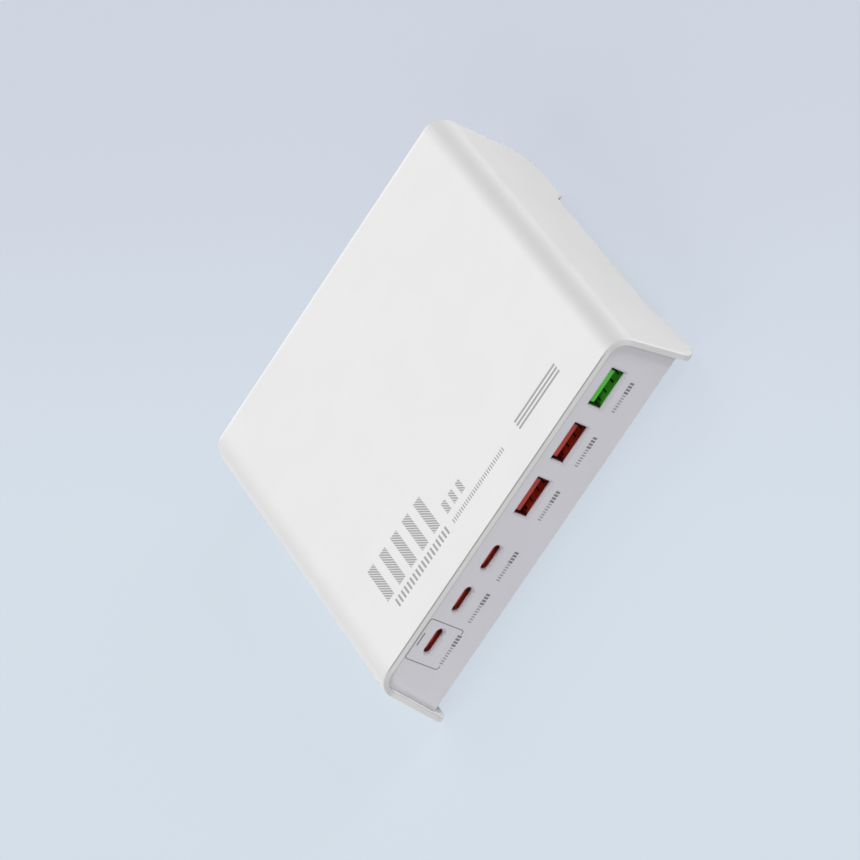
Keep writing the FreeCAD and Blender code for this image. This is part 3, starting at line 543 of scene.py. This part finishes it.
def solder_mask(name, base):
    """Circuit board: patches of mask over copper, lighter than the bare ones, under a clear gloss."""
    finish = Finish(name, base, roughness=0.3)
    patches = finish.cells(size=3.2 * MM)
    finish.tint(patches, darker=0.75, lighter=1.6)
    finish.relief(patches, depth=0.03 * MM)
    finish.gloss(finish.noise(grain=0.6 * MM), low=0.24, high=0.4)
    return finish


def printed_ink(name, base):
    """Thin screen-printed ink with a dry, slightly uneven film."""
    finish = Finish(name, base, roughness=0.55)
    film = finish.noise(grain=0.12 * MM, detail=2.0)
    finish.tint(film, darker=0.93, lighter=1.07)
    finish.gloss(film, low=0.48, high=0.62)
    return finish


# Pieces and the rows of points that they are made of

def dress(finish, *nodes):
    """Gives solids a finish."""
    for node in nodes:
        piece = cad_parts[node]
        if not piece.material_slots:
            piece.data.materials.append(finish.material)
        for slot in piece.material_slots:
            slot.material = finish.material


def new_piece(name, mesh, finish, crease=math.radians(35)):
    """Object made of a finished mesh, riding on the charger; edges sharper than the crease stay sharp."""
    bmesh.ops.recalc_face_normals(mesh, faces=mesh.faces)
    data = bpy.data.meshes.new(name)
    mesh.to_mesh(data)
    mesh.free()
    data.shade_smooth()
    data.set_sharp_from_angle(angle=crease)
    piece = bpy.data.objects.new(name, data)
    bpy.context.scene.collection.objects.link(piece)
    data.materials.append(finish.material)
    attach(piece, "root")
    return piece


def wall(mesh, first, second):
    """Band of faces between two closed rows of points."""
    for index in range(len(first)):
        after = (index + 1) % len(first)
        mesh.faces.new((first[index], first[after], second[after], second[index]))


def loop(mesh, outline, x, y, z):
    """Closed row of points about a place."""
    return [mesh.verts.new((x + u, y + v, z)) for u, v in outline]


def fill_between(mesh, outer, inner):
    """Flat faces between a closed row of points and a smaller one inside it."""
    edges = []
    for row in (outer, inner):
        for index in range(len(row)):
            pair = (row[index], row[(index + 1) % len(row)])
            edges.append(mesh.edges.get(pair) or mesh.edges.new(pair))
    bmesh.ops.triangle_fill(mesh, use_beauty=True, edges=edges)


# Printed marks: flat outlines in two coordinates, set on a surface with the ink's thickness

def on_top(u, v, lift):
    """Point over the cover's top."""
    return Vector((u, v, TOP_Z + lift))


def on_panel(u, v, lift):
    """Point before the front panel."""
    return Vector((u, PANEL_Y - lift, v))


def bar(left, near, width, height):
    """Outline of an upright bar."""
    return [(left, near), (left + width, near), (left + width, near + height), (left, near + height)]


def blocks(left, near, width, height, number, solid):
    """Row of bars that fills a width; solid is the inked share of each step."""
    step = width / number
    return [bar(left + index * step, near, step * solid, height) for index in range(number)]


def beyond(outline, across, level):
    """Part of an outline that lies past a straight line, which is square to the way across at a level."""
    kept = []
    for index, point in enumerate(outline):
        before = outline[index - 1]
        here, there = across.dot(Vector(point)) - level, across.dot(Vector(before)) - level
        if here * there < 0:
            kept.append(tuple(Vector(before).lerp(Vector(point), there / (there - here))))
        if here >= 0:
            kept.append(point)
    return kept


def hatched(outline, marks):
    """Sloping stripes that fill an outline."""
    across = Vector((math.cos(marks.hatch_slope), math.sin(marks.hatch_slope)))
    levels = [across.dot(Vector(point)) for point in outline]
    pitch = marks.hatch_pitch
    stripes = []
    for index in range(math.ceil((max(levels) - min(levels)) / pitch)):
        level = min(levels) + index * pitch
        stripe = beyond(beyond(outline, across, level), -across, -level - pitch * marks.hatch_ink)
        stripes.append(stripe)
    return stripes


def arc(centre, radius, start_deg, end_deg, steps=8):
    """Points along an arc."""
    turns = [math.radians(start_deg + (end_deg - start_deg) * index / steps) for index in range(steps + 1)]
    return [(centre[0] + radius * math.cos(turn), centre[1] + radius * math.sin(turn)) for turn in turns]


def ribbon(points, width):
    """Outline of a line of even width along points."""
    sides = []
    for index, (u, v) in enumerate(points):
        before = Vector(points[max(index - 1, 0)])
        after = Vector(points[min(index + 1, len(points) - 1)])
        along = (after - before).normalized()
        aside = Vector((-along.y, along.x)) * width / 2
        sides.append((Vector((u, v)) + aside, Vector((u, v)) - aside))
    return [tuple(left) for left, right in sides] + [tuple(right) for left, right in reversed(sides)]


def ink_piece(name, outlines, place, finish):
    """One piece of ink made of closed flat prisms."""
    proud = bpy.context.scene.charger.marks.ink_proud
    mesh = bmesh.new()
    for outline in outlines:
        under = [mesh.verts.new(place(u, v, -proud)) for u, v in outline]
        over = [mesh.verts.new(place(u, v, proud)) for u, v in outline]
        mesh.faces.new(under)
        mesh.faces.new(over)
        wall(mesh, under, over)
    new_piece(name, mesh, finish)


# Screws of the underside

def cross_screw(mesh, x, y, low, high, screws):
    """Screw that stands on its head, with a cross recess in the head's underside."""
    reach, half = screws.cross_reach, screws.cross_width
    cross = []
    for turn in range(4):
        tip = [(half, half), (reach, half), (reach, -half)]
        along, across = math.cos(turn * math.pi / 2), math.sin(turn * math.pi / 2)
        cross += [(u * along + v * across, v * along - u * across) for u, v in tip]
    shoulder = low + screws.head_height
    profile = ((screws.head_radius - screws.head_round, low),
               (screws.head_radius, low + screws.head_round),
               (screws.head_radius, shoulder),
               (screws.shank_radius, shoulder),
               (screws.shank_radius, high))
    rings = []
    for radius, z in profile:
        rings.append(loop(mesh, arc((0, 0), radius, 0, 360, screws.sides)[:-1], x, y, z))
    for first, second in zip(rings, rings[1:]):
        wall(mesh, first, second)
    mesh.faces.new(rings[-1])
    mouth = loop(mesh, cross, x, y, low)
    floor = loop(mesh, cross, x, y, low + screws.cross_depth)
    wall(mesh, mouth, floor)
    mesh.faces.new(floor)
    fill_between(mesh, rings[0], mouth)


# Where the painted shade and highlights of the cover lie

def cover_depth(finish, tones, aside, z):
    """Distance in from the cover's outside, across its section."""
    lean = math.tan(tones.splay)
    skew = math.sin(tones.splay)
    foot_x = CAD_HIGH.x + lean * CAD_LOW.z
    past_leg = finish.maths("SUBTRACT", foot_x, finish.maths("MULTIPLY_ADD", z, lean, aside))
    from_leg = finish.maths("MULTIPLY", past_leg, math.cos(tones.splay))
    from_top = finish.maths("SUBTRACT", TOP_Z, z)
    short_leg = finish.maths("MAXIMUM", finish.maths("SUBTRACT", tones.fold_radius, from_leg), 0.0)
    short_top = finish.maths("MAXIMUM", finish.maths("SUBTRACT", tones.fold_radius, from_top), 0.0)
    squares = finish.maths("ADD", finish.both(short_leg, short_leg), finish.both(short_top, short_top))
    cross = finish.maths("MULTIPLY", finish.both(short_leg, short_top), 2 * skew)
    reach = finish.maths("SQRT", finish.maths("SUBTRACT", squares, cross))
    return finish.maths("SUBTRACT", tones.fold_radius, finish.maths("DIVIDE", reach, math.cos(tones.splay)))


# Steps that dress the charger

class CHARGER_OT_cover(Operator):
    """White matt plastic on the folded cover, with painted shade along its folds and fine lines of painted
    shade and highlight along its edges and front rim
    """

    bl_idname = "charger.cover"
    bl_label = "Cover"

    def execute(self, context):
        finishes, tones = context.scene.charger.finishes, context.scene.charger.tones
        finish = moulded("cover_white", finishes.cover, finishes.cover_roughness)
        finish.set("Specular IOR Level", finishes.cover_shine)
        x, y, z = finish.axes()
        aside = finish.maths("ABSOLUTE", x)
        # Painted shade along the front top edge
        line = tones.edge_line
        high = finish.rise(z, TOP_Z - line, TOP_Z - line / 2)
        front = finish.rise(y, FRONT_Y + line, FRONT_Y + line / 2)
        across = finish.rise(aside, tones.edge_reach, tones.edge_reach - tones.edge_fade)
        finish.shade(finish.both(finish.both(high, front), across), tones.edge_shade)
        # Painted highlight along the top's rear edge
        back = finish.rise(y, BACK_Y - tones.rear_line, BACK_Y - tones.rear_line / 2)
        finish.shade(finish.both(high, back), tones.rear_highlight)
        self.folds(finish, tones, x, z)
        depth = cover_depth(finish, tones, aside, z)
        self.rim(finish, tones, front, depth, x, z)
        dress(finish, "top_cover")
        return {"FINISHED"}

    def folds(self, finish, tones, x, z):
        """Painted shade along the folds from the top to the legs, and a painted highlight streak between the
        right fold and its leg.
        """
        fold_x = CAD_HIGH.x - (TOP_Z - CAD_LOW.z) * math.tan(tones.splay) - tones.fold_radius
        below = finish.maths("SUBTRACT", TOP_Z, z)
        right = finish.rise(x, fold_x - tones.fold_lead, fold_x + tones.fold_full)
        left = finish.rise(x, tones.left_lead - fold_x, -tones.left_full - fold_x)
        fading = finish.rise(below, tones.fold_end, tones.fold_fade)
        finish.shade(finish.both(right, fading), tones.fold_shade)
        begun = finish.rise(below, tones.streak_from, tones.streak_full)
        ending = finish.rise(below, tones.streak_end, tones.streak_full)
        finish.shade(finish.both(right, finish.both(begun, ending)), tones.streak_highlight)
        finish.shade(finish.both(left, ending), tones.left_fold_shade)

    def rim(self, finish, tones, front, depth, x, z):
        """Painted shade on the front rim's face and in a line round its inside, more painted shade on the
        right leg's rim with painted light on its inside line there, and a painted highlight down that leg's
        outer edge.
        """
        line = tones.rim_line
        inside = finish.rise(depth, tones.wall - line, tones.wall - line / 2)
        outside = finish.rise(depth, line, line / 2)
        on_leg = finish.rise(z, TOP_Z - tones.wall, TOP_Z - tones.fold_radius)
        leg_rim = finish.both(front, finish.both(finish.rise(x, 0.0, tones.wall), on_leg))
        finish.shade(front, tones.rim_face_shade)
        finish.shade(finish.both(inside, front), tones.rim_line_shade)
        finish.shade(leg_rim, tones.leg_rim_shade)
        finish.shade(finish.both(inside, leg_rim), tones.leg_line_lift)
        finish.shade(finish.both(outside, leg_rim), tones.glint_tone)


class CHARGER_OT_body(Operator):
    """Pale grey plastic on the panels and the tray, with painted shade along the front panel's edge beside
    the cover and painted light on its lower part
    """

    bl_idname = "charger.body"
    bl_label = "Body"

    def execute(self, context):
        finishes, tones = context.scene.charger.finishes, context.scene.charger.tones
        dress(moulded("panel_grey", finishes.body, finishes.body_roughness), "rear_panel", "base_tray")
        front = moulded("panel_front", finishes.body, finishes.body_roughness)
        place = front.axes()
        depth = cover_depth(front, tones, place["X"], place["Z"])
        # Painted shadow beside the cover
        front.shade(front.rise(depth, tones.gap_end, tones.gap_full), tones.gap_shade)
        # Painted light towards the table
        front.shade(front.rise(place["Z"], SOCKET_Z, CAD_LOW.z), tones.foot_light)
        dress(front, "front_panel")
        return {"FINISHED"}


class CHARGER_OT_sockets(Operator):
    """Coloured inserts, plated shells and gold contacts of the sockets, with painted shade inside the mouths
    """

    bl_idname = "charger.sockets"
    bl_label = "Sockets"

    def execute(self, context):
        finishes, tones = context.scene.charger.finishes, context.scene.charger.tones
        narrow = self.insert("insert_red", finishes.red, "usb_c", USB_C_SHELLS, tones)
        dress(narrow, *trio("usb_c_insert"))
        wide = trio("usb_a_insert")
        red = self.insert("insert_wide_red", finishes.red, "usb_a", USB_A_SHELLS, tones)
        dress(red, *wide[:2])
        green = self.insert("insert_wide_green", finishes.green, "usb_a", USB_A_SHELLS, tones)
        dress(green, *wide[2:])
        dress(self.shell("shell_red", finishes.red, finishes, tones), *USB_A_SHELLS[:2], *USB_C_SHELLS)
        dress(self.shell("shell_green", finishes.green, finishes, tones), *USB_A_SHELLS[2:])
        dress(drawn_metal("contact_gold", finishes.brass, roughness=0.28), *trio("usb_a_contacts"))
        return {"FINISHED"}

    def insert(self, name, base, kind, shells, tones):
        """Coloured plastic with painted shade on the side walls, at both ends and at the front of the floor.
        """
        side_shade, end_shade, end, shift = (getattr(tones, f"{kind}_{value}") for value in
                                           ("side_shade", "end_shade", "end", "shift"))
        finish = moulded(name, base, roughness=0.34, grain=0.15 * MM, depth=0.002 * MM)
        place, facing = finish.axes(), finish.axes("Normal")
        across = finish.maths("ABSOLUTE", facing["X"])
        finish.shade(finish.rise(across, *STEEP), side_shade)
        first = middle(shells[0]).x
        half_pitch = (middle(shells[1]).x - first) / 2
        along = finish.maths("WRAP", place["X"], first + half_pitch, first - half_pitch)
        aside = finish.maths("ABSOLUTE", finish.maths("SUBTRACT", along, first + shift))
        finish.shade(finish.rise(aside, end, end + tones.end_fade), end_shade)
        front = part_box("usb_a_insert_1")[0].y
        near = finish.rise(place["Y"], front + tones.floor_reach, front)
        finish.shade(finish.both(finish.rise(facing["Z"], *STEEP), near), tones.floor_shade)
        return finish

    def shell(self, name, base, finishes, tones):
        """Plated steel whose front edge is painted in its insert's own colour, darkened as painted shade."""
        finish = drawn_metal(name, finishes.steel, roughness=0.34)
        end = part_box(USB_C_SHELLS[0])[0].y + tones.shell_front_reach
        shell_front = finish.rise(finish.axes()["Y"], end, end - tones.shell_front_reach / 4)
        # The insert's colour on the shell's front edge, darkened as painted shade
        finish.coat(shell_front, Vector(base) * tones.shell_front_shade)
        return finish


class CHARGER_OT_lips(Operator):
    """Rounded lips that lead into the socket mouths and hide the edges of the shells, with painted shade at
    their front and left sides and painted light deeper in
    """

    bl_idname = "charger.lips"
    bl_label = "Socket lips"

    def execute(self, context):
        charger = context.scene.charger
        finishes, tones, lips = charger.finishes, charger.tones, charger.lips
        # Painted shade at the lips' front and on their left sides, painted light deeper in
        grey = Vector(finishes.body) * tones.lip_front_shade
        finish = moulded("lip_grey", grey, finishes.body_roughness)
        inside = finish.rise(finish.axes()["Y"], PANEL_Y, PANEL_Y + lips.pale_from)
        finish.shade(inside, tones.lip_inside_light)
        left = finish.rise(finish.axes("Normal")["X"], *LEANING)
        finish.shade(finish.both(inside, left), tones.lip_left_shade)
        self.row("usb_c", USB_C_SHELLS, finish, lips)
        self.row("usb_a", USB_A_SHELLS, finish, lips)
        return {"FINISHED"}

    def row(self, kind, shells, finish, lips):
        """One piece with a lip in the mouth before each shell of a kind."""
        side, top, corner, inset, rise, depth = (getattr(lips, f"{kind}_{size}") for size in
                                                 ("side", "top", "corner", "inset", "rise", "depth"))
        edge = lips.bevel - lips.play
        mesh = bmesh.new()
        for shell in shells:
            low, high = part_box(shell)
            half = Vector((high.x - low.x, high.z - low.z)) / 2 + Vector((side, top))
            centre = middle(shell).xz
            rows = []
            for step in range(lips.steps + 1):
                turn = math.pi / 2 * step / lips.steps
                inward = math.sin(turn)
                rows.append(self.ring(mesh, centre + Vector((0, rise * inward)), half, corner,
                                      edge - (edge + inset) * inward, depth * (1 - math.cos(turn)), lips))
            rows.append(self.ring(mesh, centre, half, corner, -lips.play, depth, lips))
            rows.append(self.ring(mesh, centre, half, corner, -lips.play, lips.bevel, lips))
            for first, second in zip(rows, rows[1:] + rows[:1]):
                wall(mesh, first, second)
        new_piece(f"{kind}_lips", mesh, finish)

    def ring(self, mesh, centre, half, corner, offset, depth, lips):
        """Mouth's outline, moved outwards by an offset, at a depth behind the panel's front."""
        radius = max(corner + offset, lips.sharpest)
        across, up = half.x + offset - radius, half.y + offset - radius
        points = []
        for start, side, rise in ((0, 1, 1), (90, -1, 1), (180, -1, -1), (270, 1, -1)):
            pivot = (centre.x + side * across, centre.y + rise * up)
            points += arc(pivot, radius, start, start + 90, lips.steps)
        return [mesh.verts.new(on_panel(x, z, -depth)) for x, z in points]


class CHARGER_OT_inlet(Operator):
    """Black mains inlet and its pins"""

    bl_idname = "charger.inlet"
    bl_label = "Mains inlet"

    def execute(self, context):
        finishes = context.scene.charger.finishes
        dress(moulded("inlet_black", finishes.inlet, roughness=0.4), "ac_inlet")
        dress(drawn_metal("pin_brass", finishes.brass, roughness=0.25), "inlet_pins")
        return {"FINISHED"}


class CHARGER_OT_fasteners(Operator):
    """Plated screws and spacers, with a cross recess in each screw of the underside"""

    bl_idname = "charger.fasteners"
    bl_label = "Fasteners"

    def execute(self, context):
        settings = context.scene.charger
        plated = drawn_metal("screw_steel", settings.finishes.screw, roughness=0.36, stretch=(6, 6, 1))
        dress(plated, "board_screws", "port_board_screws", "board_spacers")
        low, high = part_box("cover_screws")
        inset = settings.screws.head_radius
        mesh = bmesh.new()
        for x in (low.x + inset, high.x - inset):
            for y in (low.y + inset, high.y - inset):
                cross_screw(mesh, x, y, low.z, high.z, settings.screws)
        piece = new_piece("cross_screws", mesh, plated)
        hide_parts("cover_screws")
        return {"FINISHED"}


class CHARGER_OT_boards(Operator):
    """Circuit boards, their connector strips and the insulating sheet"""

    bl_idname = "charger.boards"
    bl_label = "Circuit boards"

    def execute(self, context):
        finishes = context.scene.charger.finishes
        dress(solder_mask("board_green", finishes.board), "main_board", "usb_a_board", "usb_c_board")
        dress(moulded("header_black", finishes.package, roughness=0.48), "link_headers")
        dress(moulded("sheet_clear", finishes.sheet, roughness=0.2), "insulation_sheet")
        return {"FINISHED"}


class CHARGER_OT_power_parts(Operator):
    """Power parts on the main board"""

    bl_idname = "charger.power_parts"
    bl_label = "Power parts"

    def execute(self, context):
        finishes = context.scene.charger.finishes
        black = moulded("package_black", finishes.package, roughness=0.5)
        dress(black, "fuse", "bridge_rectifier", "power_switches", "controller_chips", "buck_inductors")
        dress(black, "pfc_bobbin", "transformer_bobbin")
        dress(moulded("sleeve_black", finishes.sleeve, roughness=0.3), "bulk_capacitors")
        dress(moulded("film_yellow", finishes.film, roughness=0.42), "x_capacitor")
        dress(moulded("disc_blue", finishes.disc, roughness=0.35), "varistor", "y_capacitor")
        dress(sintered("ferrite", finishes.ferrite), "choke_core", "pfc_core", "transformer_core")
        thick = wound_wire("choke_wire", finishes.copper, pitch=0.9 * MM, direction="X")
        dress(thick, "choke_windings")
        thin = wound_wire("coil_wire", finishes.copper, pitch=0.45 * MM, direction="Z")
        dress(thin, "pfc_winding", "transformer_winding")
        metal = drawn_metal("can_metal", finishes.aluminium, roughness=0.32)
        dress(metal, "output_capacitors", "heat_sink", "heat_spreader")
        soft = moulded("pad_grey", finishes.pad, roughness=0.75, grain=0.4 * MM, depth=0.02 * MM)
        dress(soft, "thermal_pad")
        return {"FINISHED"}


class CHARGER_OT_labels(Operator):
    """Row of fine and bold blocks under each socket"""

    bl_idname = "charger.labels"
    bl_label = "Socket labels"

    def execute(self, context):
        finishes, marks = context.scene.charger.finishes, context.scene.charger.marks
        fine, bold = [], []
        near = SOCKET_Z - marks.label_drop - marks.label_height / 2
        fine_width = marks.label_width * marks.label_fine_share
        bold_width = marks.label_width - fine_width
        inset = marks.label_inset
        for node in (*USB_C_SHELLS, *USB_A_SHELLS):
            left = middle(node).x + marks.label_shift - marks.label_width / 2
            fine += blocks(left, near + inset, fine_width, marks.label_height - 2 * inset,
                           marks.label_fine_blocks, marks.label_fine_ink)
            bold += blocks(left + fine_width, near, bold_width, marks.label_height,
                           marks.label_bold_blocks, marks.label_bold_ink)
        pale = printed_ink("ink_label_pale", finishes.ink_pale)
        dark = printed_ink("ink_label_dark", finishes.ink_dark)
        ink_piece("label_fine", fine, on_panel, pale)
        ink_piece("label_bold", bold, on_panel, dark)
        return {"FINISHED"}


class CHARGER_OT_socket_frame(Operator):
    """Thin line round the first socket, open where its label stands, and the small dash above the socket"""

    bl_idname = "charger.socket_frame"
    bl_label = "Socket frame"

    def execute(self, context):
        finishes, marks = context.scene.charger.finishes, context.scene.charger.marks
        centre_x = middle(USB_C_SHELLS[0]).x + marks.frame_shift
        centre_z = SOCKET_Z - marks.frame_drop
        radius = marks.frame_corner
        half_width, half_height = marks.frame_width / 2, marks.frame_height / 2
        left, right = centre_x - half_width + radius, centre_x + half_width - radius
        low, high = centre_z - half_height + radius, centre_z + half_height - radius
        gap = marks.frame_gap / 2
        path = [(centre_x + gap, low - radius)]
        path += arc((right, low), radius, 270, 360) + arc((right, high), radius, 0, 90)
        path += arc((left, high), radius, 90, 180) + arc((left, low), radius, 180, 270)
        path += [(centre_x - gap, low - radius)]
        line = ribbon(path, marks.frame_line)
        sign_z = SOCKET_Z + marks.sign_rise
        dash = bar(centre_x - marks.sign_width / 2, sign_z, marks.sign_width, marks.sign_height)
        ink = printed_ink("ink_frame", finishes.ink_frame)
        ink_piece("socket_frame", [line, dash], on_panel, ink)
        return {"FINISHED"}


class CHARGER_OT_top_print(Operator):
    """Grey bars, strokes, ticks and lines printed near the front of the cover"""

    bl_idname = "charger.top_print"
    bl_label = "Cover print"

    def execute(self, context):
        finishes, marks = context.scene.charger.finishes, context.scene.charger.marks
        grey = printed_ink("ink_cover_grey", finishes.ink_grey)
        pale = printed_ink("ink_cover_pale", finishes.ink_pale)
        tall = blocks(marks.bars_left, marks.bars_near, marks.bars_width, marks.bars_height,
                      marks.bars_count, marks.bars_ink)
        short = blocks(marks.short_left, marks.bars_near, marks.short_width, marks.short_height,
                       marks.short_count, marks.short_ink)
        stripes = [stripe for outline in tall + short for stripe in hatched(outline, marks)]
        ink_piece("cover_bars", stripes, on_top, grey)
        strokes = blocks(marks.strokes_left, marks.strokes_near, marks.strokes_width, marks.strokes_height,
                         marks.strokes_count, marks.strokes_ink)
        ink_piece("cover_strokes", strokes, on_top, grey)
        ticks = blocks(marks.ticks_left, marks.ticks_near, marks.ticks_width, marks.ticks_height,
                       marks.ticks_count, marks.ticks_ink)
        ink_piece("cover_ticks", ticks, on_top, pale)
        lines = []
        for row in range(marks.lines_count):
            near = marks.lines_near + marks.lines_pitch * row
            lines.append(bar(marks.lines_left, near, marks.lines_width, marks.lines_height))
        ink_piece("cover_lines", lines, on_top, grey)
        return {"FINISHED"}


# Studio

def to_the_eye(tree, lighting, shown):
    """Surface that lights the charger with one shader and shows another, straight on or mirrored."""
    nodes, links = tree.nodes, tree.links
    path = nodes.new("ShaderNodeLightPath").outputs
    seen = path["Is Camera Ray"]
    for ray in ("Is Glossy Ray", "Is Transmission Ray"):
        either = nodes.new("ShaderNodeMath")
        either.operation = "MAXIMUM"
        links.new(seen, either.inputs[0])
        links.new(path[ray], either.inputs[1])
        seen = either.outputs["Value"]
    mix = nodes.new("ShaderNodeMixShader")
    links.new(seen, mix.inputs["Fac"])
    links.new(lighting, mix.inputs[1])
    links.new(shown, mix.inputs[2])
    return mix.outputs["Shader"]


class CHARGER_OT_studio(Operator):
    """Pale floor, soft lamps and the camera"""

    bl_idname = "charger.studio"
    bl_label = "Studio"

    def execute(self, context):
        scene, stage = context.scene, context.scene.charger.stage
        self.floor(scene, stage)
        self.sky(scene, stage)
        self.lamp(scene, "key_lamp", stage.key_from, stage.key, stage.key_spread)
        self.lamp(scene, "fill_lamp", stage.fill_from, stage.fill, stage.fill_spread)
        self.lamp(scene, "front_lamp", stage.front_from, stage.front, stage.front_spread)
        self.lamp(scene, "back_lamp", stage.back_from, stage.back, stage.back_spread)
        self.camera(scene, stage)
        scene.view_settings.view_transform = "Standard"
        return {"FINISHED"}

    def floor(self, scene, stage):
        """Wide floor under the charger's feet."""
        half = stage.floor_size / 2
        data = bpy.data.meshes.new("floor")
        corners = [(-half, -half, CAD_LOW.z), (half, -half, CAD_LOW.z), (half, half, CAD_LOW.z),
                   (-half, half, CAD_LOW.z)]
        data.from_pydata(corners, [], [(0, 1, 2, 3)])
        data.materials.append(self.paint(stage))
        piece = bpy.data.objects.new("floor", data)
        scene.collection.objects.link(piece)

    def paint(self, stage):
        """Neutral to the light that the floor throws back, and the pale backdrop to the eye."""
        finish = Finish("floor_paint", stage.bounce, roughness=0.9)
        finish.set("Specular IOR Level", 0.0)
        finish.tint(finish.noise(grain=60 * MM), darker=0.997, lighter=1.003)
        nodes, links = finish.nodes, finish.links
        along = nodes.new("ShaderNodeVectorMath")
        along.operation = "DOT_PRODUCT"
        along.inputs[1].default_value = stage.backdrop_run
        links.new(finish.coordinates.outputs["Object"], along.inputs[0])
        run = finish.rise(along.outputs["Value"], stage.backdrop_from, stage.backdrop_to)
        shown = finish.ramp(run, stage.backdrop_near, stage.backdrop_far)
        lit = nodes.new("ShaderNodeBsdfDiffuse")
        even = nodes.new("ShaderNodeEmission")
        seen = nodes.new("ShaderNodeMixShader")
        seen.inputs["Fac"].default_value = stage.lift
        links.new(shown, lit.inputs["Color"])
        links.new(shown, even.inputs["Color"])
        links.new(lit.outputs["BSDF"], seen.inputs[1])
        links.new(even.outputs["Emission"], seen.inputs[2])
        either = to_the_eye(finish.material.node_tree, finish.shader.outputs["BSDF"], seen.outputs["Shader"])
        links.new(either, nodes["Material Output"].inputs["Surface"])
        return finish.material

    def sky(self, scene, stage):
        """Level white light, which the camera and reflections see as the pale backdrop."""
        world = bpy.data.worlds.new("studio")
        world.use_nodes = True
        nodes, links = world.node_tree.nodes, world.node_tree.links
        light = nodes["Background"]
        light.inputs["Color"].default_value = (1, 1, 1, 1)
        light.inputs["Strength"].default_value = stage.sky
        backdrop = nodes.new("ShaderNodeBackground")
        backdrop.inputs["Color"].default_value = (*stage.backdrop_far, 1)
        either = to_the_eye(world.node_tree, light.outputs["Background"], backdrop.outputs["Background"])
        links.new(either, nodes["World Output"].inputs["Surface"])
        scene.world = world

    def lamp(self, scene, name, source, level, spread):
        """Distant soft lamp in a direction; at level 1 a white surface that faces it renders white."""
        data = bpy.data.lights.new(name, "SUN")
        data.energy = level * math.pi
        data.angle = spread
        piece = bpy.data.objects.new(name, data)
        piece.rotation_euler = Vector(source).to_track_quat("Z", "Y").to_euler()
        scene.collection.objects.link(piece)

    def camera(self, scene, stage):
        """Camera at the photograph's angle."""
        data = bpy.data.cameras.new("camera")
        data.lens = stage.lens
        data.sensor_width = stage.sensor
        data.clip_end = 2 * stage.floor_size
        piece = bpy.data.objects.new("camera", data)
        turn = (Matrix.Rotation(stage.azimuth, 4, "Z")
                @ Matrix.Rotation(math.pi / 2 - stage.elevation, 4, "X")
                @ Matrix.Rotation(stage.roll, 4, "Z"))
        back = turn.to_3x3() @ Vector((0, 0, stage.distance))
        piece.matrix_world = Matrix.Translation(Vector(stage.aim) + back) @ turn
        scene.collection.objects.link(piece)
        scene.camera = piece


OPERATORS = (CHARGER_OT_cover, CHARGER_OT_body, CHARGER_OT_sockets, CHARGER_OT_lips, CHARGER_OT_inlet,
             CHARGER_OT_fasteners, CHARGER_OT_boards, CHARGER_OT_power_parts, CHARGER_OT_labels,
             CHARGER_OT_socket_frame, CHARGER_OT_top_print, CHARGER_OT_studio)


class CHARGER_PT_sidebar(Panel):
    """Lists the charger's steps and settings"""

    bl_label = "Desktop charger"
    bl_idname = "CHARGER_PT_sidebar"
    bl_space_type = "VIEW_3D"
    bl_region_type = "UI"
    bl_category = "Charger"

    def draw(self, context):
        settings = context.scene.charger
        for operator in OPERATORS:
            self.layout.operator(operator.bl_idname)
        for group in (settings.finishes, settings.tones, settings.marks, settings.lips, settings.screws,
                      settings.stage):
            box = self.layout.box()
            for name in group.bl_rna.properties.keys():
                if name not in ("rna_type", "name"):
                    box.prop(group, name)


CLASSES = (ChargerFinishes, ChargerTones, ChargerMarks, ChargerLips, ChargerScrews, ChargerStage,
           ChargerSettings, *OPERATORS, CHARGER_PT_sidebar)


def register():
    """Makes the settings, operators and panel known."""
    for item in CLASSES:
        bpy.utils.register_class(item)
    bpy.types.Scene.charger = PointerProperty(type=ChargerSettings)


def unregister():
    """Takes them away again."""
    del bpy.types.Scene.charger
    for item in reversed(CLASSES):
        bpy.utils.unregister_class(item)


def main():
    """Dresses the charger step by step."""
    register()
    bpy.ops.charger.cover()
    bpy.ops.charger.body()
    bpy.ops.charger.sockets()
    bpy.ops.charger.lips()
    bpy.ops.charger.inlet()
    bpy.ops.charger.fasteners()
    bpy.ops.charger.boards()
    bpy.ops.charger.power_parts()
    bpy.ops.charger.labels()
    bpy.ops.charger.socket_frame()
    bpy.ops.charger.top_print()
    bpy.ops.charger.studio()


if __name__ == "__main__":
    main()
